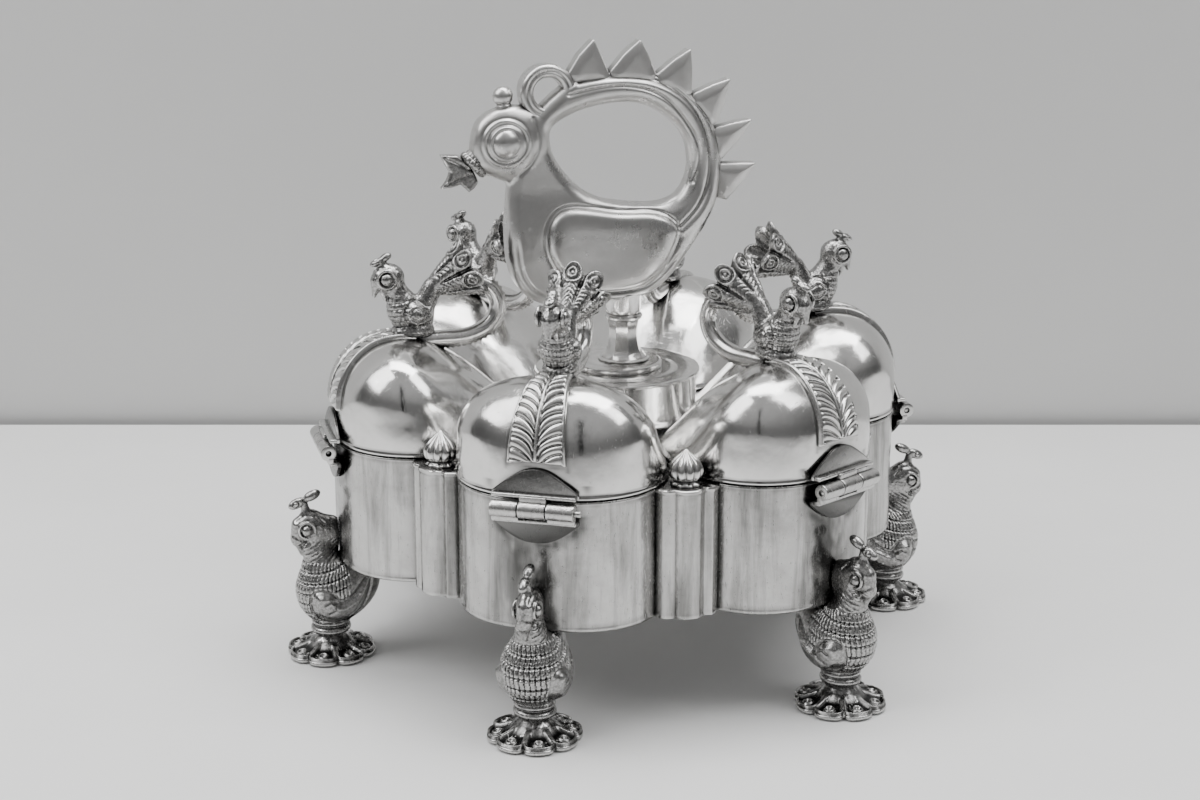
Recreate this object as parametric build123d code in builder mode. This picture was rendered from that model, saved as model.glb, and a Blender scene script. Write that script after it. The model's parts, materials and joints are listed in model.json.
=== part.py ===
from build123d import *
import math
import os

# Six-chambered silver kumkum box on bird feet, with hinged domed lids and a
# peacock carrying ring.  Millimetres, +Z up, origin on the ground below the
# centre.  Chambers are numbered 1 to 6 anticlockwise from +X.

os.makedirs("parts", exist_ok=True)

# ---------------------------------------------------------------- dimensions
N = 6                      # chambers
SHEET = 1.0                # thickness of the silver sheet
BASE_Z = 25.0              # underside of the chambers
FLOOR = 1.2                # chamber floor thickness
RIM_Z = 56.3               # joint plane between cup and lid
RIM_GAP = 0.30             # running gap at the rim
HINGE_R = 75.0             # hinge axis to the box axis
HINGE_Z = 54.8             # hinge axis height
KNUCKLE_R = 1.9            # hinge barrel radius
PIN_R = 0.75               # hinge pin radius
PIN_CLEAR = 0.05           # radial running clearance in the lid's knuckle
KNUCKLE_L = 6.4            # length of one of the three knuckles
KNUCKLE_GAP = 0.15         # axial gap between knuckles
LEAF_HALF = 10.2           # half width of a hinge leaf
WALL_R = 72.0              # outermost chamber wall
DOME_TOP = 80.7            # top of the dome
DRUM_R = 19.8              # centre drum
FLANGE_R = 20.8            # flange disc
STEP_R = 11.2              # step disc
DRUM_TOP = 68.4
FLANGE_TOP = 69.5
STEP_TOP = 71.2
STEM_X = 1.6               # the stem stands a little off the box axis
FOOT_R = 74.5              # flower foot centre to the box axis
FIN_R = 59.2               # bud finial to the box axis
BODY_T = 9.6               # peacock body thickness
PIN_OUT = [1.4, 1.4, 1.4, -1.0, 1.5, 1.2]   # how far each pin's end stands out


def mirrored(half):
    """Closed list of outline points from one half, symmetric about v = 0."""
    inner = [(u, -v) for (u, v) in reversed(half) if abs(v) > 1e-6]
    return list(half) + inner


# plan of one chamber in its own frame: u outwards, v across
HALF_PLAN = [
    (72.0, 0.0), (71.7, 5.5), (70.3, 11.5), (67.0, 17.2), (61.8, 21.6),
    (55.5, 24.0), (48.5, 24.5), (43.0, 23.3), (37.0, 20.4), (31.0, 17.0),
    (26.0, 13.1), (22.5, 7.8), (20.9, 0.0),
]

# horizontal sections of the lid: height, outer u, inner u, half width at the
# widest place
LEVELS = [
    (RIM_Z + RIM_GAP, 72.00, 20.9, 24.50),
    (60.5, 72.00, 25.0, 24.40),
    (65.0, 71.80, 29.7, 23.70),
    (69.5, 71.10, 34.4, 22.90),
    (73.5, 69.40, 39.2, 20.80),
    (76.7, 66.90, 44.1, 17.70),
    (79.0, 63.90, 48.0, 13.40),
    (80.3, 60.60, 51.2, 8.40),
    (DOME_TOP, 57.60, 53.8, 3.40),
]


def section_points(uo, ui, w, off=0.0):
    """Chamber plan squeezed between uo and ui, w half wide, offset inwards."""
    uo, ui, w = uo - off, ui + off, w - off
    pts = []
    for (u, v) in HALF_PLAN:
        t = (u - 20.9) / (72.0 - 20.9)
        pts.append((ui + (uo - ui) * t, v / 24.5 * w))
    return mirrored(pts)


def around(shape, i):
    """The same shape turned to chamber i (0 to 5)."""
    return shape.rotate(Axis.Z, 360.0 / N * i)


# ----------------------------------------------------------------- chambers
with BuildPart() as cup_block:
    with BuildSketch(Plane.XY.offset(BASE_Z)):
        with BuildLine():
            Spline(*mirrored(HALF_PLAN), periodic=True)
        make_face()
    extrude(amount=RIM_Z - RIM_GAP / 2 - BASE_Z)

inner_plan = section_points(72.0, 20.9, 24.5, SHEET)
with BuildPart() as cup:
    add(cup_block.part)
    with BuildSketch(Plane.XY.offset(BASE_Z + FLOOR)):
        with BuildLine():
            Spline(*inner_plan, periodic=True)
        make_face()
    extrude(amount=RIM_Z - BASE_Z, mode=Mode.SUBTRACT)

for i in range(N):
    with BuildPart() as chamber_cup:
        add(around(cup.part, i))
    chamber_cup.part.label = "chamber_cup_%d" % (i + 1)
    export_step(chamber_cup.part, "parts/chamber_cup_%d.step" % (i + 1))

# ----------------------------------------------------- base web and drum
with BuildPart() as base_web:
    with BuildSketch(Plane.XY.offset(BASE_Z)):
        Circle(48.5)
    extrude(amount=1.0)
    for i in range(N):
        add(around(cup_block.part, i), mode=Mode.SUBTRACT)
base_web.part.label = "base_web"
export_step(base_web.part, "parts/base_web.step")

with BuildPart() as centre_drum:
    with BuildSketch(Plane.XY.offset(BASE_Z + 1.0)):
        Circle(DRUM_R)
        Circle(DRUM_R - 1.2, mode=Mode.SUBTRACT)
    extrude(amount=DRUM_TOP - BASE_Z - 1.0)
centre_drum.part.label = "centre_drum"
export_step(centre_drum.part, "parts/centre_drum.step")

with BuildPart() as flange_disc:
    with BuildSketch(Plane.XY.offset(DRUM_TOP)):
        Circle(FLANGE_R)
    extrude(amount=FLANGE_TOP - DRUM_TOP)
    fillet(flange_disc.edges().filter_by(GeomType.CIRCLE), 0.4)
flange_disc.part.label = "flange_disc"
export_step(flange_disc.part, "parts/flange_disc.step")

with BuildPart() as step_disc:
    with BuildSketch(Plane.XY.offset(FLANGE_TOP)):
        Circle(STEP_R)
    extrude(amount=STEP_TOP - FLANGE_TOP)
    fillet(step_disc.edges().filter_by(GeomType.CIRCLE).group_by(Axis.Z)[-1], 0.5)
step_disc.part.label = "step_disc"
export_step(step_disc.part, "parts/step_disc.step")

# ------------------------------------------------------ pillars and finials
FLUTES = [(7.9, 58.2), (7.4, 61.0), (5.6, 62.9), (3.5, 62.9), (2.2, 64.1),
          (0.0, 64.5)]


def flute_line(off=0.0):
    right = [(p - off, -q) for (q, p) in FLUTES[:-1]]
    left = [(p - off, q) for (q, p) in reversed(FLUTES)]
    return right + left


with BuildPart() as pillar:
    # fluted front wall
    with BuildSketch(Plane.XY.offset(BASE_Z)):
        with BuildLine():
            a = Polyline((48.5, -7.9), flute_line()[0])
            b = Spline(*flute_line()[0:4])
            c = Spline(*flute_line()[3:8])
            d = Spline(*flute_line()[7:])
            e = Polyline(flute_line()[-1], (48.5, 7.9), (48.5, -7.9))
        make_face()
    extrude(amount=RIM_Z - RIM_GAP / 2 - BASE_Z)
    # hollow behind the front wall, open below
    with BuildSketch(Plane.XY.offset(BASE_Z)):
        with BuildLine():
            a = Polyline((50.2, -9.0), (57.0, -9.0))
            b = Spline((57.0, -9.0), (60.6, -6.0), (61.7, -4.0), (62.9, -1.8), (63.2, 0.0),
                       (62.9, 1.8), (61.7, 4.0), (60.6, 6.0), (57.0, 9.0))
            e = Polyline((57.0, 9.0), (50.2, 9.0), (50.2, -9.0))
        make_face()
    extrude(amount=RIM_Z - RIM_GAP / 2 - BASE_Z - 0.9, mode=Mode.SUBTRACT)
    # the two neighbouring chambers
    add(cup_block.part.rotate(Axis.Z, 30), mode=Mode.SUBTRACT)
    add(cup_block.part.rotate(Axis.Z, -30), mode=Mode.SUBTRACT)

with BuildPart() as corner_pillars:
    for i in range(N):
        add(pillar.part.rotate(Axis.Z, 30 + 60 * i), mode=Mode.ADD)
corner_pillars.part.label = "corner_pillars"
export_step(corner_pillars.part, "parts/corner_pillars.step")

PLATE_Z = RIM_Z - RIM_GAP / 2
with BuildPart() as bud:
    with BuildSketch(Plane.XZ):
        with BuildLine():
            Polyline((0, PLATE_Z), (3.5, PLATE_Z), (3.5, PLATE_Z + 0.8), (2.8, PLATE_Z + 1.2))
            Spline((2.8, PLATE_Z + 1.2), (3.7, PLATE_Z + 2.0), (4.15, PLATE_Z + 3.5),
                   (3.6, PLATE_Z + 5.3), (1.9, PLATE_Z + 7.3), (0, PLATE_Z + 8.4))
            Line((0, PLATE_Z + 8.4), (0, PLATE_Z))
        make_face()
    revolve(axis=Axis.Z)

with BuildPart() as bud_finials:
    for i in range(N):
        a = math.radians(30 + 60 * i)
        add(bud.part.moved(Location((FIN_R * math.cos(a), FIN_R * math.sin(a), 0))))
bud_finials.part.label = "bud_finials"
export_step(bud_finials.part, "parts/bud_finials.step")

# ------------------------------------------------------------------- hinges
AX = (HINGE_R, 0.0, HINGE_Z)
K0 = KNUCKLE_L / 2                                                    # centre knuckle half

with BuildPart() as lower_leaf:
    # plate against the chamber wall
    with BuildSketch(Plane.YZ.offset(WALL_R - 1.2)):
        with BuildLine():
            Polyline((-LEAF_HALF, 52.2), (-LEAF_HALF, 51.2), (-4.2, 47.2), (-1.5, 46.4), (1.5, 46.4),
                     (4.2, 47.2), (LEAF_HALF, 51.2), (LEAF_HALF, 52.2), (-LEAF_HALF, 52.2))
        make_face()
    extrude(amount=2.2)
    # folded lip under the barrel
    with Locations((WALL_R + 1.4, 0, 51.95)):
        Box(2.6, 2 * LEAF_HALF - 0.6, 0.9)
    # two outer knuckles with webs
    for s in (-1, 1):
        c = s * (K0 + KNUCKLE_GAP + KNUCKLE_L / 2)
        with Locations((HINGE_R - 0.55, c, 52.9)):
            Box(1.6, KNUCKLE_L, 1.9)
        with Locations(Location((HINGE_R, c, HINGE_Z), (90, 0, 0))):
            Cylinder(KNUCKLE_R, KNUCKLE_L)
    add(cup_block.part, mode=Mode.SUBTRACT)
    # pin bore
    with Locations(Location(AX, (90, 0, 0))):
        Cylinder(PIN_R, 60, mode=Mode.SUBTRACT)
    # room for the turning centre knuckle
    with Locations((HINGE_R, 0, HINGE_Z)):
        Box(2 * KNUCKLE_R + 0.6, KNUCKLE_L + 2 * KNUCKLE_GAP, 2 * KNUCKLE_R + 0.7, mode=Mode.SUBTRACT)

with BuildPart() as hinge_lower_leaves:
    for i in range(N):
        add(around(lower_leaf.part, i))
hinge_lower_leaves.part.label = "hinge_lower_leaves"
export_step(hinge_lower_leaves.part, "parts/hinge_lower_leaves.step")

with BuildPart() as hinge_pins:
    for i in range(N):
        a = math.radians(60 * i)
        lo = -(K0 + KNUCKLE_GAP + KNUCKLE_L) + 0.3
        hi = K0 + KNUCKLE_GAP + KNUCKLE_L + PIN_OUT[i]
        with BuildSketch(Plane(origin=(HINGE_R * math.cos(a) - lo * math.sin(a),
                                       HINGE_R * math.sin(a) + lo * math.cos(a), HINGE_Z),
                               z_dir=(-math.sin(a), math.cos(a), 0))):
            Circle(PIN_R)
        extrude(amount=hi - lo)
hinge_pins.part.label = "hinge_pins"
export_step(hinge_pins.part, "parts/hinge_pins.step")

# -------------------------------------------------------------------- lids
with BuildPart() as dome_block:
    for (z, uo, ui, w) in LEVELS:
        with BuildSketch(Plane.XY.offset(z)):
            with BuildLine():
                Spline(*section_points(uo, ui, w), periodic=True)
            make_face()
    loft()

with BuildPart() as dome_hollow:
    for (z, uo, ui, w) in LEVELS[:-1]:
        k = SHEET if z < 78 else SHEET * 0.9
        zz = z - 0.001 if z < 57 else z - SHEET * (z - 56) / 25.0
        with BuildSketch(Plane.XY.offset(zz)):
            with BuildLine():
                Spline(*section_points(uo - 0.9, ui + 1.4, w - 0.9, 0.1), periodic=True)
            make_face()
    loft()

with BuildPart() as lid_shell:
    add(dome_block.part)
    add(dome_hollow.part, mode=Mode.SUBTRACT)
    # rounded bead along the rim
    with BuildSketch(Plane.XY.offset(RIM_Z + RIM_GAP)) as bead:
        with BuildLine():
            Spline(*section_points(72.3, 20.7, 24.8), periodic=True)
        make_face()
        with BuildLine():
            Spline(*section_points(71.5, 21.6, 24.0), periodic=True)
        make_face(mode=Mode.SUBTRACT)
    extrude(amount=0.9)

with BuildPart() as upper_leaf:
    with BuildSketch(Plane.YZ.offset(WALL_R - 1.2)):
        with BuildLine():
            Polyline((-LEAF_HALF, 57.6), (LEAF_HALF, 57.6), (LEAF_HALF, 58.4), (5.6, 61.4), (1.6, 63.8),
                     (-1.6, 63.8), (-5.6, 61.4), (-LEAF_HALF, 58.4), (-LEAF_HALF, 57.6))
        make_face()
    extrude(amount=2.2)
    # folded lip over the barrel
    with Locations((WALL_R + 1.4, 0, 57.75)):
        Box(2.6, 2 * LEAF_HALF - 0.6, 0.9)
    # centre knuckle with its web
    with Locations((HINGE_R - 0.55, 0, 56.7)):
        Box(1.6, KNUCKLE_L, 1.9)
    with Locations(Location(AX, (90, 0, 0))):
        Cylinder(KNUCKLE_R, KNUCKLE_L)
    add(lid_shell.part, mode=Mode.SUBTRACT)
    add(dome_block.part, mode=Mode.SUBTRACT)
    with Locations(Location(AX, (90, 0, 0))):
        Cylinder(PIN_R + PIN_CLEAR, 60, mode=Mode.SUBTRACT)
    # room for the fixed outer knuckles
    for s in (-1, 1):
        c = s * (K0 + KNUCKLE_GAP + KNUCKLE_L / 2 + 2)
        with Locations(Location((HINGE_R, c - s * KNUCKLE_GAP, HINGE_Z), (90, 0, 0))):
            Cylinder(KNUCKLE_R + 0.35, KNUCKLE_L + 4 - KNUCKLE_GAP * 2 + 0.3, mode=Mode.SUBTRACT)

# leaf strap over the dome, running on as a round stem that curls up
STRAP_T = 1.3
STEM_R = 2.15
with BuildPart() as strap_skin:
    for (z, uo, ui, w) in LEVELS[:-1]:
        with BuildSketch(Plane.XY.offset(z + STRAP_T * (z - 55) / 25.0)):
            with BuildLine():
                Spline(*section_points(uo + STRAP_T, ui - STRAP_T, w + STRAP_T), periodic=True)
            make_face()
    with BuildSketch(Plane.XY.offset(DOME_TOP + STRAP_T)):
        with BuildLine():
            Spline(*section_points(57.6, 53.8, 3.4), periodic=True)
        make_face()
    loft()

with BuildPart() as strap_plan:
    with BuildSketch(Plane.XY.offset(64.2)):
        with BuildLine():
            Polyline((76.0, 7.1), (71.0, 6.6), (66.0, 5.6), (60.0, 4.5), (52.0, 3.2), (47.0, 2.3),
                     (47.0, -2.3), (52.0, -3.2), (60.0, -4.5), (66.0, -5.6), (71.0, -6.6),
                     (76.0, -7.1), (76.0, 7.1))
        make_face()
    extrude(amount=30)

with BuildPart() as leaf_strap:
    add(strap_skin.part)
    add(strap_plan.part, mode=Mode.INTERSECT)
    # stem: along the top, then up and round into the open loop
    with BuildLine() as stem_path:
        s1 = Line((52.0, 0, 79.6), (41.0, 0, 79.3))
        s2 = ThreePointArc((41.0, 0, 79.3), (30.9, 0, 85.2), (34.3, 0, 92.0))
    with BuildSketch(Plane(origin=(52.0, 0, 79.6), z_dir=(-1, 0, -0.027))):
        Circle(STEM_R)
    sweep(path=stem_path.wire())
    add(dome_block.part, mode=Mode.SUBTRACT)

# bird standing on the strap
with BuildPart() as lid_bird:
    # body
    with BuildSketch(Plane.XY.offset(80.4)):
        with Locations((52.2, 0)):
            Ellipse(4.6, 3.0)
    with BuildSketch(Plane.XY.offset(82.2)):
        with Locations((52.4, 0)):
            Ellipse(5.2, 3.5)
    with BuildSketch(Plane.XY.offset(86.0)):
        with Locations((52.6, 0)):
            Ellipse(5.6, 3.9)
    with BuildSketch(Plane.XY.offset(89.5)):
        with Locations((53.4, 0)):
            Ellipse(4.6, 3.3)
    with BuildSketch(Plane.XY.offset(92.5)):
        with Locations((55.6, 0)):
            Ellipse(2.5, 2.3)
    loft()
    # head
    with Locations((57.2, 0, 95.2)):
        Sphere(3.7)
    # beak
    with BuildSketch(Plane(origin=(59.6, 0, 94.0), z_dir=(0.35, 0, -1))):
        Circle(1.7)
    with BuildSketch(Plane(origin=(61.0, 0, 90.0), z_dir=(0.35, 0, -1))):
        Circle(0.5)
    loft()
    # crest plate
    with BuildSketch(Plane(origin=(59.6, 0, 99.4), z_dir=(0.55, 0, 0.84), x_dir=(0.84, 0, -0.55))):
        Ellipse(3.0, 2.0)
    extrude(amount=0.9)
    with BuildSketch(Plane(origin=(58.2, 0, 97.2), z_dir=(0.4, 0, 1))):
        Circle(1.1)
    extrude(amount=3.0)
    # tail stem rising from the back
    with BuildSketch(Plane(origin=(50.5, 0, 86.0), z_dir=(-0.5, 0, 0.87))):
        Circle(2.6)
    with BuildSketch(Plane(origin=(46.9, 0, 92.3), z_dir=(-0.5, 0, 0.87))):
        Circle(1.9)
    loft()
    # flower-shaped tail, a shallow trumpet with rounded petals
    tail = Plane(origin=(47.4, 0, 91.6), z_dir=(-0.906, 0, 0.423), x_dir=(0.423, 0, 0.906))
    with BuildSketch(tail):
        Circle(1.5)
    with BuildSketch(tail.offset(5.0)):
        Circle(4.2)
    with BuildSketch(tail.offset(11.0)):
        Circle(6.4)
    loft()
    with BuildSketch(tail.offset(3.2)):
        Circle(0.9)
    with BuildSketch(tail.offset(11.2)):
        Circle(5.4)
    loft(mode=Mode.SUBTRACT)
    add(leaf_strap.part, mode=Mode.SUBTRACT)
    add(dome_block.part, mode=Mode.SUBTRACT)

for i in range(N):
    for (name, src) in (("lid_dome", lid_shell), ("leaf_strap", leaf_strap),
                        ("lid_bird", lid_bird), ("hinge_upper_leaf", upper_leaf)):
        with BuildPart() as lid_piece:
            add(around(src.part, i))
        label = "%s_%d" % (name, i + 1)
        lid_piece.part.label = label
        export_step(lid_piece.part, "parts/%s.step" % label)

# -------------------------------------------------------------------- legs
with BuildPart() as foot:
    with BuildSketch(Plane.XY):
        Circle(8.6)
        with PolarLocations(8.3, 9, start_angle=20):
            Circle(3.05)
    extrude(amount=1.5)
    with BuildSketch(Plane.XZ):
        with BuildLine():
            Spline((8.6, 1.5), (6.6, 2.4), (5.2, 3.5), (4.7, 4.6))
            Polyline((4.7, 4.6), (0, 4.6), (0, 1.5), (8.6, 1.5))
        make_face()
    revolve(axis=Axis.Z)

for i in range(N):
    with BuildPart() as flower_foot:
        add(around(foot.part.moved(Location((FOOT_R, 0, 0))), i))
    flower_foot.part.label = "flower_foot_%d" % (i + 1)
    export_step(flower_foot.part, "parts/flower_foot_%d.step" % (i + 1))

with BuildPart() as bird_leg:
    # neck of the foot and collar ring
    with BuildSketch(Plane.XZ):
        with BuildLine():
            Polyline((0, 4.6), (4.7, 4.6), (4.9, 5.2))
            Spline((4.9, 5.2), (5.9, 5.9), (5.8, 7.4), (5.0, 8.0))
            Polyline((5.0, 8.0), (0, 8.0), (0, 4.6))
        make_face()
    revolve(axis=Axis.Z)
    # body sections: height, centre u, half length, half width
    for (z, cu, a, b) in ((7.8, -0.4, 4.9, 4.9), (10.5, -0.1, 7.1, 6.7), (13.5, -0.9, 9.2, 8.1),
                          (17.0, -1.9, 10.4, 8.4), (20.5, -2.2, 10.2, 8.0), (24.6, -3.9, 9.6, 6.6)):
        with BuildSketch(Plane.XY.offset(z)):
            with Locations((cu, 0)):
                Ellipse(a, b)
    loft()

with BuildPart() as bird_leg_full:
    add(bird_leg.part.moved(Location((FOOT_R, 0, 0))))
    # neck and shoulders outside the chamber wall
    for (z, cu, a, b) in ((22.0, 75.6, 5.6, 6.2), (25.5, 75.4, 4.9, 4.9), (29.5, 75.6, 4.8, 3.8),
                          (33.0, 76.8, 4.9, 3.6)):
        with BuildSketch(Plane.XY.offset(z)):
            with Locations((cu, 0)):
                Ellipse(a, b)
    loft()
    # head
    with Locations((78.3, 0, 34.0)):
        Sphere(4.9)
    # beak
    with BuildSketch(Plane(origin=(81.5, 0, 31.5), z_dir=(-0.1, 0, -1))):
        Circle(2.3)
    with BuildSketch(Plane(origin=(80.9, 0, 26.0), z_dir=(-0.1, 0, -1))):
        Circle(0.6)
    loft()
    # eyes
    for s in (-1, 1):
        with Locations((79.8, s * 3.5, 33.6)):
            Sphere(1.4)
    # crest
    with BuildSketch(Plane(origin=(83.0, 0, 39.3), z_dir=(-0.92, 0, 0.39))):
        Ellipse(1.1, 1.3)
    extrude(amount=6.6)
    with Locations((83.0, 0, 39.3)):
        Sphere(1.3)
    with BuildSketch(Plane.XY.offset(36.0)):
        with Locations((79.6, 0)):
            Circle(1.6)
    extrude(amount=4.0)
    add(cup_block.part, mode=Mode.SUBTRACT)

for i in range(N):
    with BuildPart() as leg_bird:
        add(around(bird_leg_full.part, i))
    leg_bird.part.label = "leg_bird_%d" % (i + 1)
    export_step(leg_bird.part, "parts/leg_bird_%d.step" % (i + 1))

# ---------------------------------------------------------- pedestal stem
stem_plane = Plane(origin=(STEM_X, 0, 0), x_dir=(1, 0, 0), z_dir=(0, -1, 0))
with BuildPart() as pedestal_stem:
    with BuildSketch(stem_plane):
        with BuildLine():
            Polyline((0, STEP_TOP), (6.4, STEP_TOP), (6.4, STEP_TOP + 0.5))
            Spline((6.4, STEP_TOP + 0.5), (4.9, 73.0), (4.0, 75.2), (3.6, 79.5), (3.9, 81.6), (4.6, 83.4))
            Polyline((4.6, 83.4), (4.6, 88.6), (0, 88.6), (0, STEP_TOP))
        make_face()
    revolve(axis=Axis((STEM_X, 0, 0), (0, 0, 1)))

# ---------------------------------------------------------------- peacock
BODY_PTS = [
    (-28.6, 110.0), (-28.6, 103.6), (-27.7, 95.9), (-25.2, 90.6), (-21.4, 87.6), (-13.0, 86.6),
    (-2.5, 86.8), (7.7, 88.4), (12.6, 92.2), (18.9, 100.4), (23.9, 108.0), (26.3, 116.1),
    (25.9, 124.3), (23.4, 131.5), (18.2, 137.6), (10.1, 142.2), (-2.0, 143.5), (-10.5, 142.6),
    (-17.0, 138.6), (-21.2, 134.4), (-24.5, 129.0), (-26.6, 123.5), (-27.9, 117.5),
]
HOLE_PTS = [
    (-17.4, 129.6), (-14.6, 132.2), (-6.4, 135.2), (0.2, 136.0), (5.7, 135.4), (11.8, 132.2),
    (16.4, 127.0), (17.8, 121.5), (16.9, 116.0), (14.0, 112.2), (9.6, 110.9), (1.9, 111.3),
    (-4.7, 112.6), (-9.7, 115.4), (-14.6, 120.6), (-17.2, 125.4),
]
with BuildPart() as peacock_body:
    with BuildSketch(Plane.XZ) as body_sk:
        with BuildLine():
            Spline(*BODY_PTS, periodic=True)
        make_face()
        with BuildLine():
            Spline(*HOLE_PTS, periodic=True)
        make_face(mode=Mode.SUBTRACT)
    extrude(amount=BODY_T / 2, both=True)
    chamfer(peacock_body.edges().filter_by(lambda e: abs(abs(e.center().Y) - BODY_T / 2) < 1e-3), 1.4)
    # head
    with Locations((-27.2, 0, 127.9)):
        Sphere(8.6)
    # beak
    with BuildSketch(Plane(origin=(-33.0, 0, 124.4), z_dir=(-0.78, 0, -0.63))):
        Circle(3.6)
    with BuildSketch(Plane(origin=(-36.4, 0, 121.7), z_dir=(-0.78, 0, -0.63))):
        Circle(2.3)
    loft()

with BuildPart() as stem_final:
    add(pedestal_stem.part)
    add(peacock_body.part, mode=Mode.SUBTRACT)
stem_final.part.label = "pedestal_stem"
export_step(stem_final.part, "parts/pedestal_stem.step")

with BuildPart() as crest_curl:
    with BuildSketch(Plane.XZ):
        with Locations((-18.2, 139.3)):
            Circle(6.9)
            Circle(3.6, mode=Mode.SUBTRACT)
    extrude(amount=2.6, both=True)
    fillet(crest_curl.edges().filter_by(GeomType.CIRCLE), 0.9)
    add(peacock_body.part, mode=Mode.SUBTRACT)
crest_curl.part.label = "peacock_crest_curl"
export_step(crest_curl.part, "parts/peacock_crest_curl.step")

with BuildPart() as crest_knob:
    with Locations((-28.6, 0, 138.0)):
        Sphere(2.5)
    add(peacock_body.part, mode=Mode.SUBTRACT)
    add(crest_curl.part, mode=Mode.SUBTRACT)
crest_knob.part.label = "peacock_crest_knob"
export_step(crest_knob.part, "parts/peacock_crest_knob.step")

SPIKES = [
    ((-13.0, 143.2), (-6.6, 151.3), (-3.1, 143.6)),
    ((-2.3, 143.6), (5.1, 150.9), (9.0, 142.6)),
    ((9.4, 142.4), (17.8, 148.2), (18.2, 138.0)),
    ((18.9, 137.4), (28.0, 140.7), (24.8, 130.4)),
    ((24.9, 128.9), (33.8, 130.5), (26.4, 121.4)),
    ((26.3, 119.8), (34.9, 119.6), (27.6, 111.0)),
]
with BuildPart() as tail_spikes:
    for (a, b, c) in SPIKES:
        ctr = (4.0, 118.0)
        ina = (a[0] + (ctr[0] - a[0]) * 0.09, a[1] + (ctr[1] - a[1]) * 0.09)
        inc = (c[0] + (ctr[0] - c[0]) * 0.09, c[1] + (ctr[1] - c[1]) * 0.09)
        with BuildSketch(Plane.XZ.offset(-2.7)):
            with BuildLine():
                Polyline(ina, a, b, c, inc, ina)
            make_face()
        extrude(amount=5.4)
    add(peacock_body.part, mode=Mode.SUBTRACT)
    add(crest_curl.part, mode=Mode.SUBTRACT)
tail_spikes.part.label = "peacock_tail_spikes"
export_step(tail_spikes.part, "parts/peacock_tail_spikes.step")

WING_PTS = [
    (-19.2, 102.1), (-18.6, 106.8), (-15.6, 110.4), (-10.7, 111.0), (0.3, 109.4), (12.6, 107.0),
    (14.3, 104.6), (13.6, 101.0), (9.3, 93.8), (4.6, 90.6), (-1.5, 89.6), (-10.8, 91.0), (-16.4, 95.4),
]
with BuildPart() as wings:
    for s in (-1, 1):
        for (rise, k) in ((0.0, 1.0), (0.9, 0.96), (1.7, 0.84)):
            with BuildSketch(Plane.XZ.offset(-s * (BODY_T / 2 + rise))):
                with BuildLine():
                    Spline(*[(-2.5 + (x + 2.5) * k, 100.5 + (z - 100.5) * k) for (x, z) in WING_PTS],
                           periodic=True)
                make_face()
        loft()
wings.part.label = "peacock_wings"
export_step(wings.part, "parts/peacock_wings.step")

with BuildPart() as eyes:
    for s in (-1, 1):
        with Locations((-28.0, s * 8.2, 127.6)):
            Sphere(2.6)
    add(peacock_body.part, mode=Mode.SUBTRACT)
eyes.part.label = "peacock_eyes"
export_step(eyes.part, "parts/peacock_eyes.step")

beak_dir = (-0.78, 0, -0.63)
with BuildPart() as sprig_collar:
    with BuildSketch(Plane(origin=(-35.8, 0, 122.2), z_dir=beak_dir)):
        Circle(4.4)
    extrude(amount=2.2)
    fillet(sprig_collar.edges().filter_by(GeomType.CIRCLE), 0.8)
    add(peacock_body.part, mode=Mode.SUBTRACT)
sprig_collar.part.label = "beak_collar"
export_step(sprig_collar.part, "parts/beak_collar.step")

with BuildPart() as sprig:
    with BuildSketch(Plane.XZ.offset(-1.8)):
        with BuildLine():
            Polyline((-36.2, 120.6), (-39.6, 124.8), (-44.6, 124.8), (-43.0, 121.8), (-44.6, 116.6),
                     (-40.2, 117.8), (-37.6, 115.4), (-34.6, 117.6), (-36.2, 120.6))
        make_face()
    extrude(amount=3.6)
    add(sprig_collar.part, mode=Mode.SUBTRACT)
    add(peacock_body.part, mode=Mode.SUBTRACT)
sprig.part.label = "beak_sprig"
export_step(sprig.part, "parts/beak_sprig.step")

peacock_body.part.label = "peacock_body"
export_step(peacock_body.part, "parts/peacock_body.step")
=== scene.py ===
import bpy, bmesh, math, json
import numpy as np
import openvdb
from mathutils import Vector, Matrix, noise


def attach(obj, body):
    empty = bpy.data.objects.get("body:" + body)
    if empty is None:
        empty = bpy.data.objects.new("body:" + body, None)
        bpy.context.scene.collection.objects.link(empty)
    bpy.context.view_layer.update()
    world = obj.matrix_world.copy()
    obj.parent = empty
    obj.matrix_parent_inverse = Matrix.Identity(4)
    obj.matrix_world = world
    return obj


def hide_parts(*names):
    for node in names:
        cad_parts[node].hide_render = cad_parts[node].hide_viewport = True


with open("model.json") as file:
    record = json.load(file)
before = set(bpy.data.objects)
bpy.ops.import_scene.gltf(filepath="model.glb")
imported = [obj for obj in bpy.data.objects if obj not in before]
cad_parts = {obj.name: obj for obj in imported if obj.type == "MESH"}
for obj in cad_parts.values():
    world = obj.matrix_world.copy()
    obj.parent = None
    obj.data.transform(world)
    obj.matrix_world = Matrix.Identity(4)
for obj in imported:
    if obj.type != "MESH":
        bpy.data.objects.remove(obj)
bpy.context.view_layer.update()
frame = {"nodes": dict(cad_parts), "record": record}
MM = 0.001
RNG = np.random.default_rng(7)

# ------------------------------------------------------------------ camera
ELEV = math.radians(15.4753)
DIST, TX, TZ, FPX = 568.706, -4.354, 60.373, 2244.25
AZ0 = math.radians(-15.0386)      # the photograph's side-on direction in the row frame
AZ0 = math.radians(-15.0)


def cam_to_row(x, y, z):
    c, s = math.cos(AZ0), math.sin(AZ0)
    return Vector((x * c - y * s, x * s + y * c, z))


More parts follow.
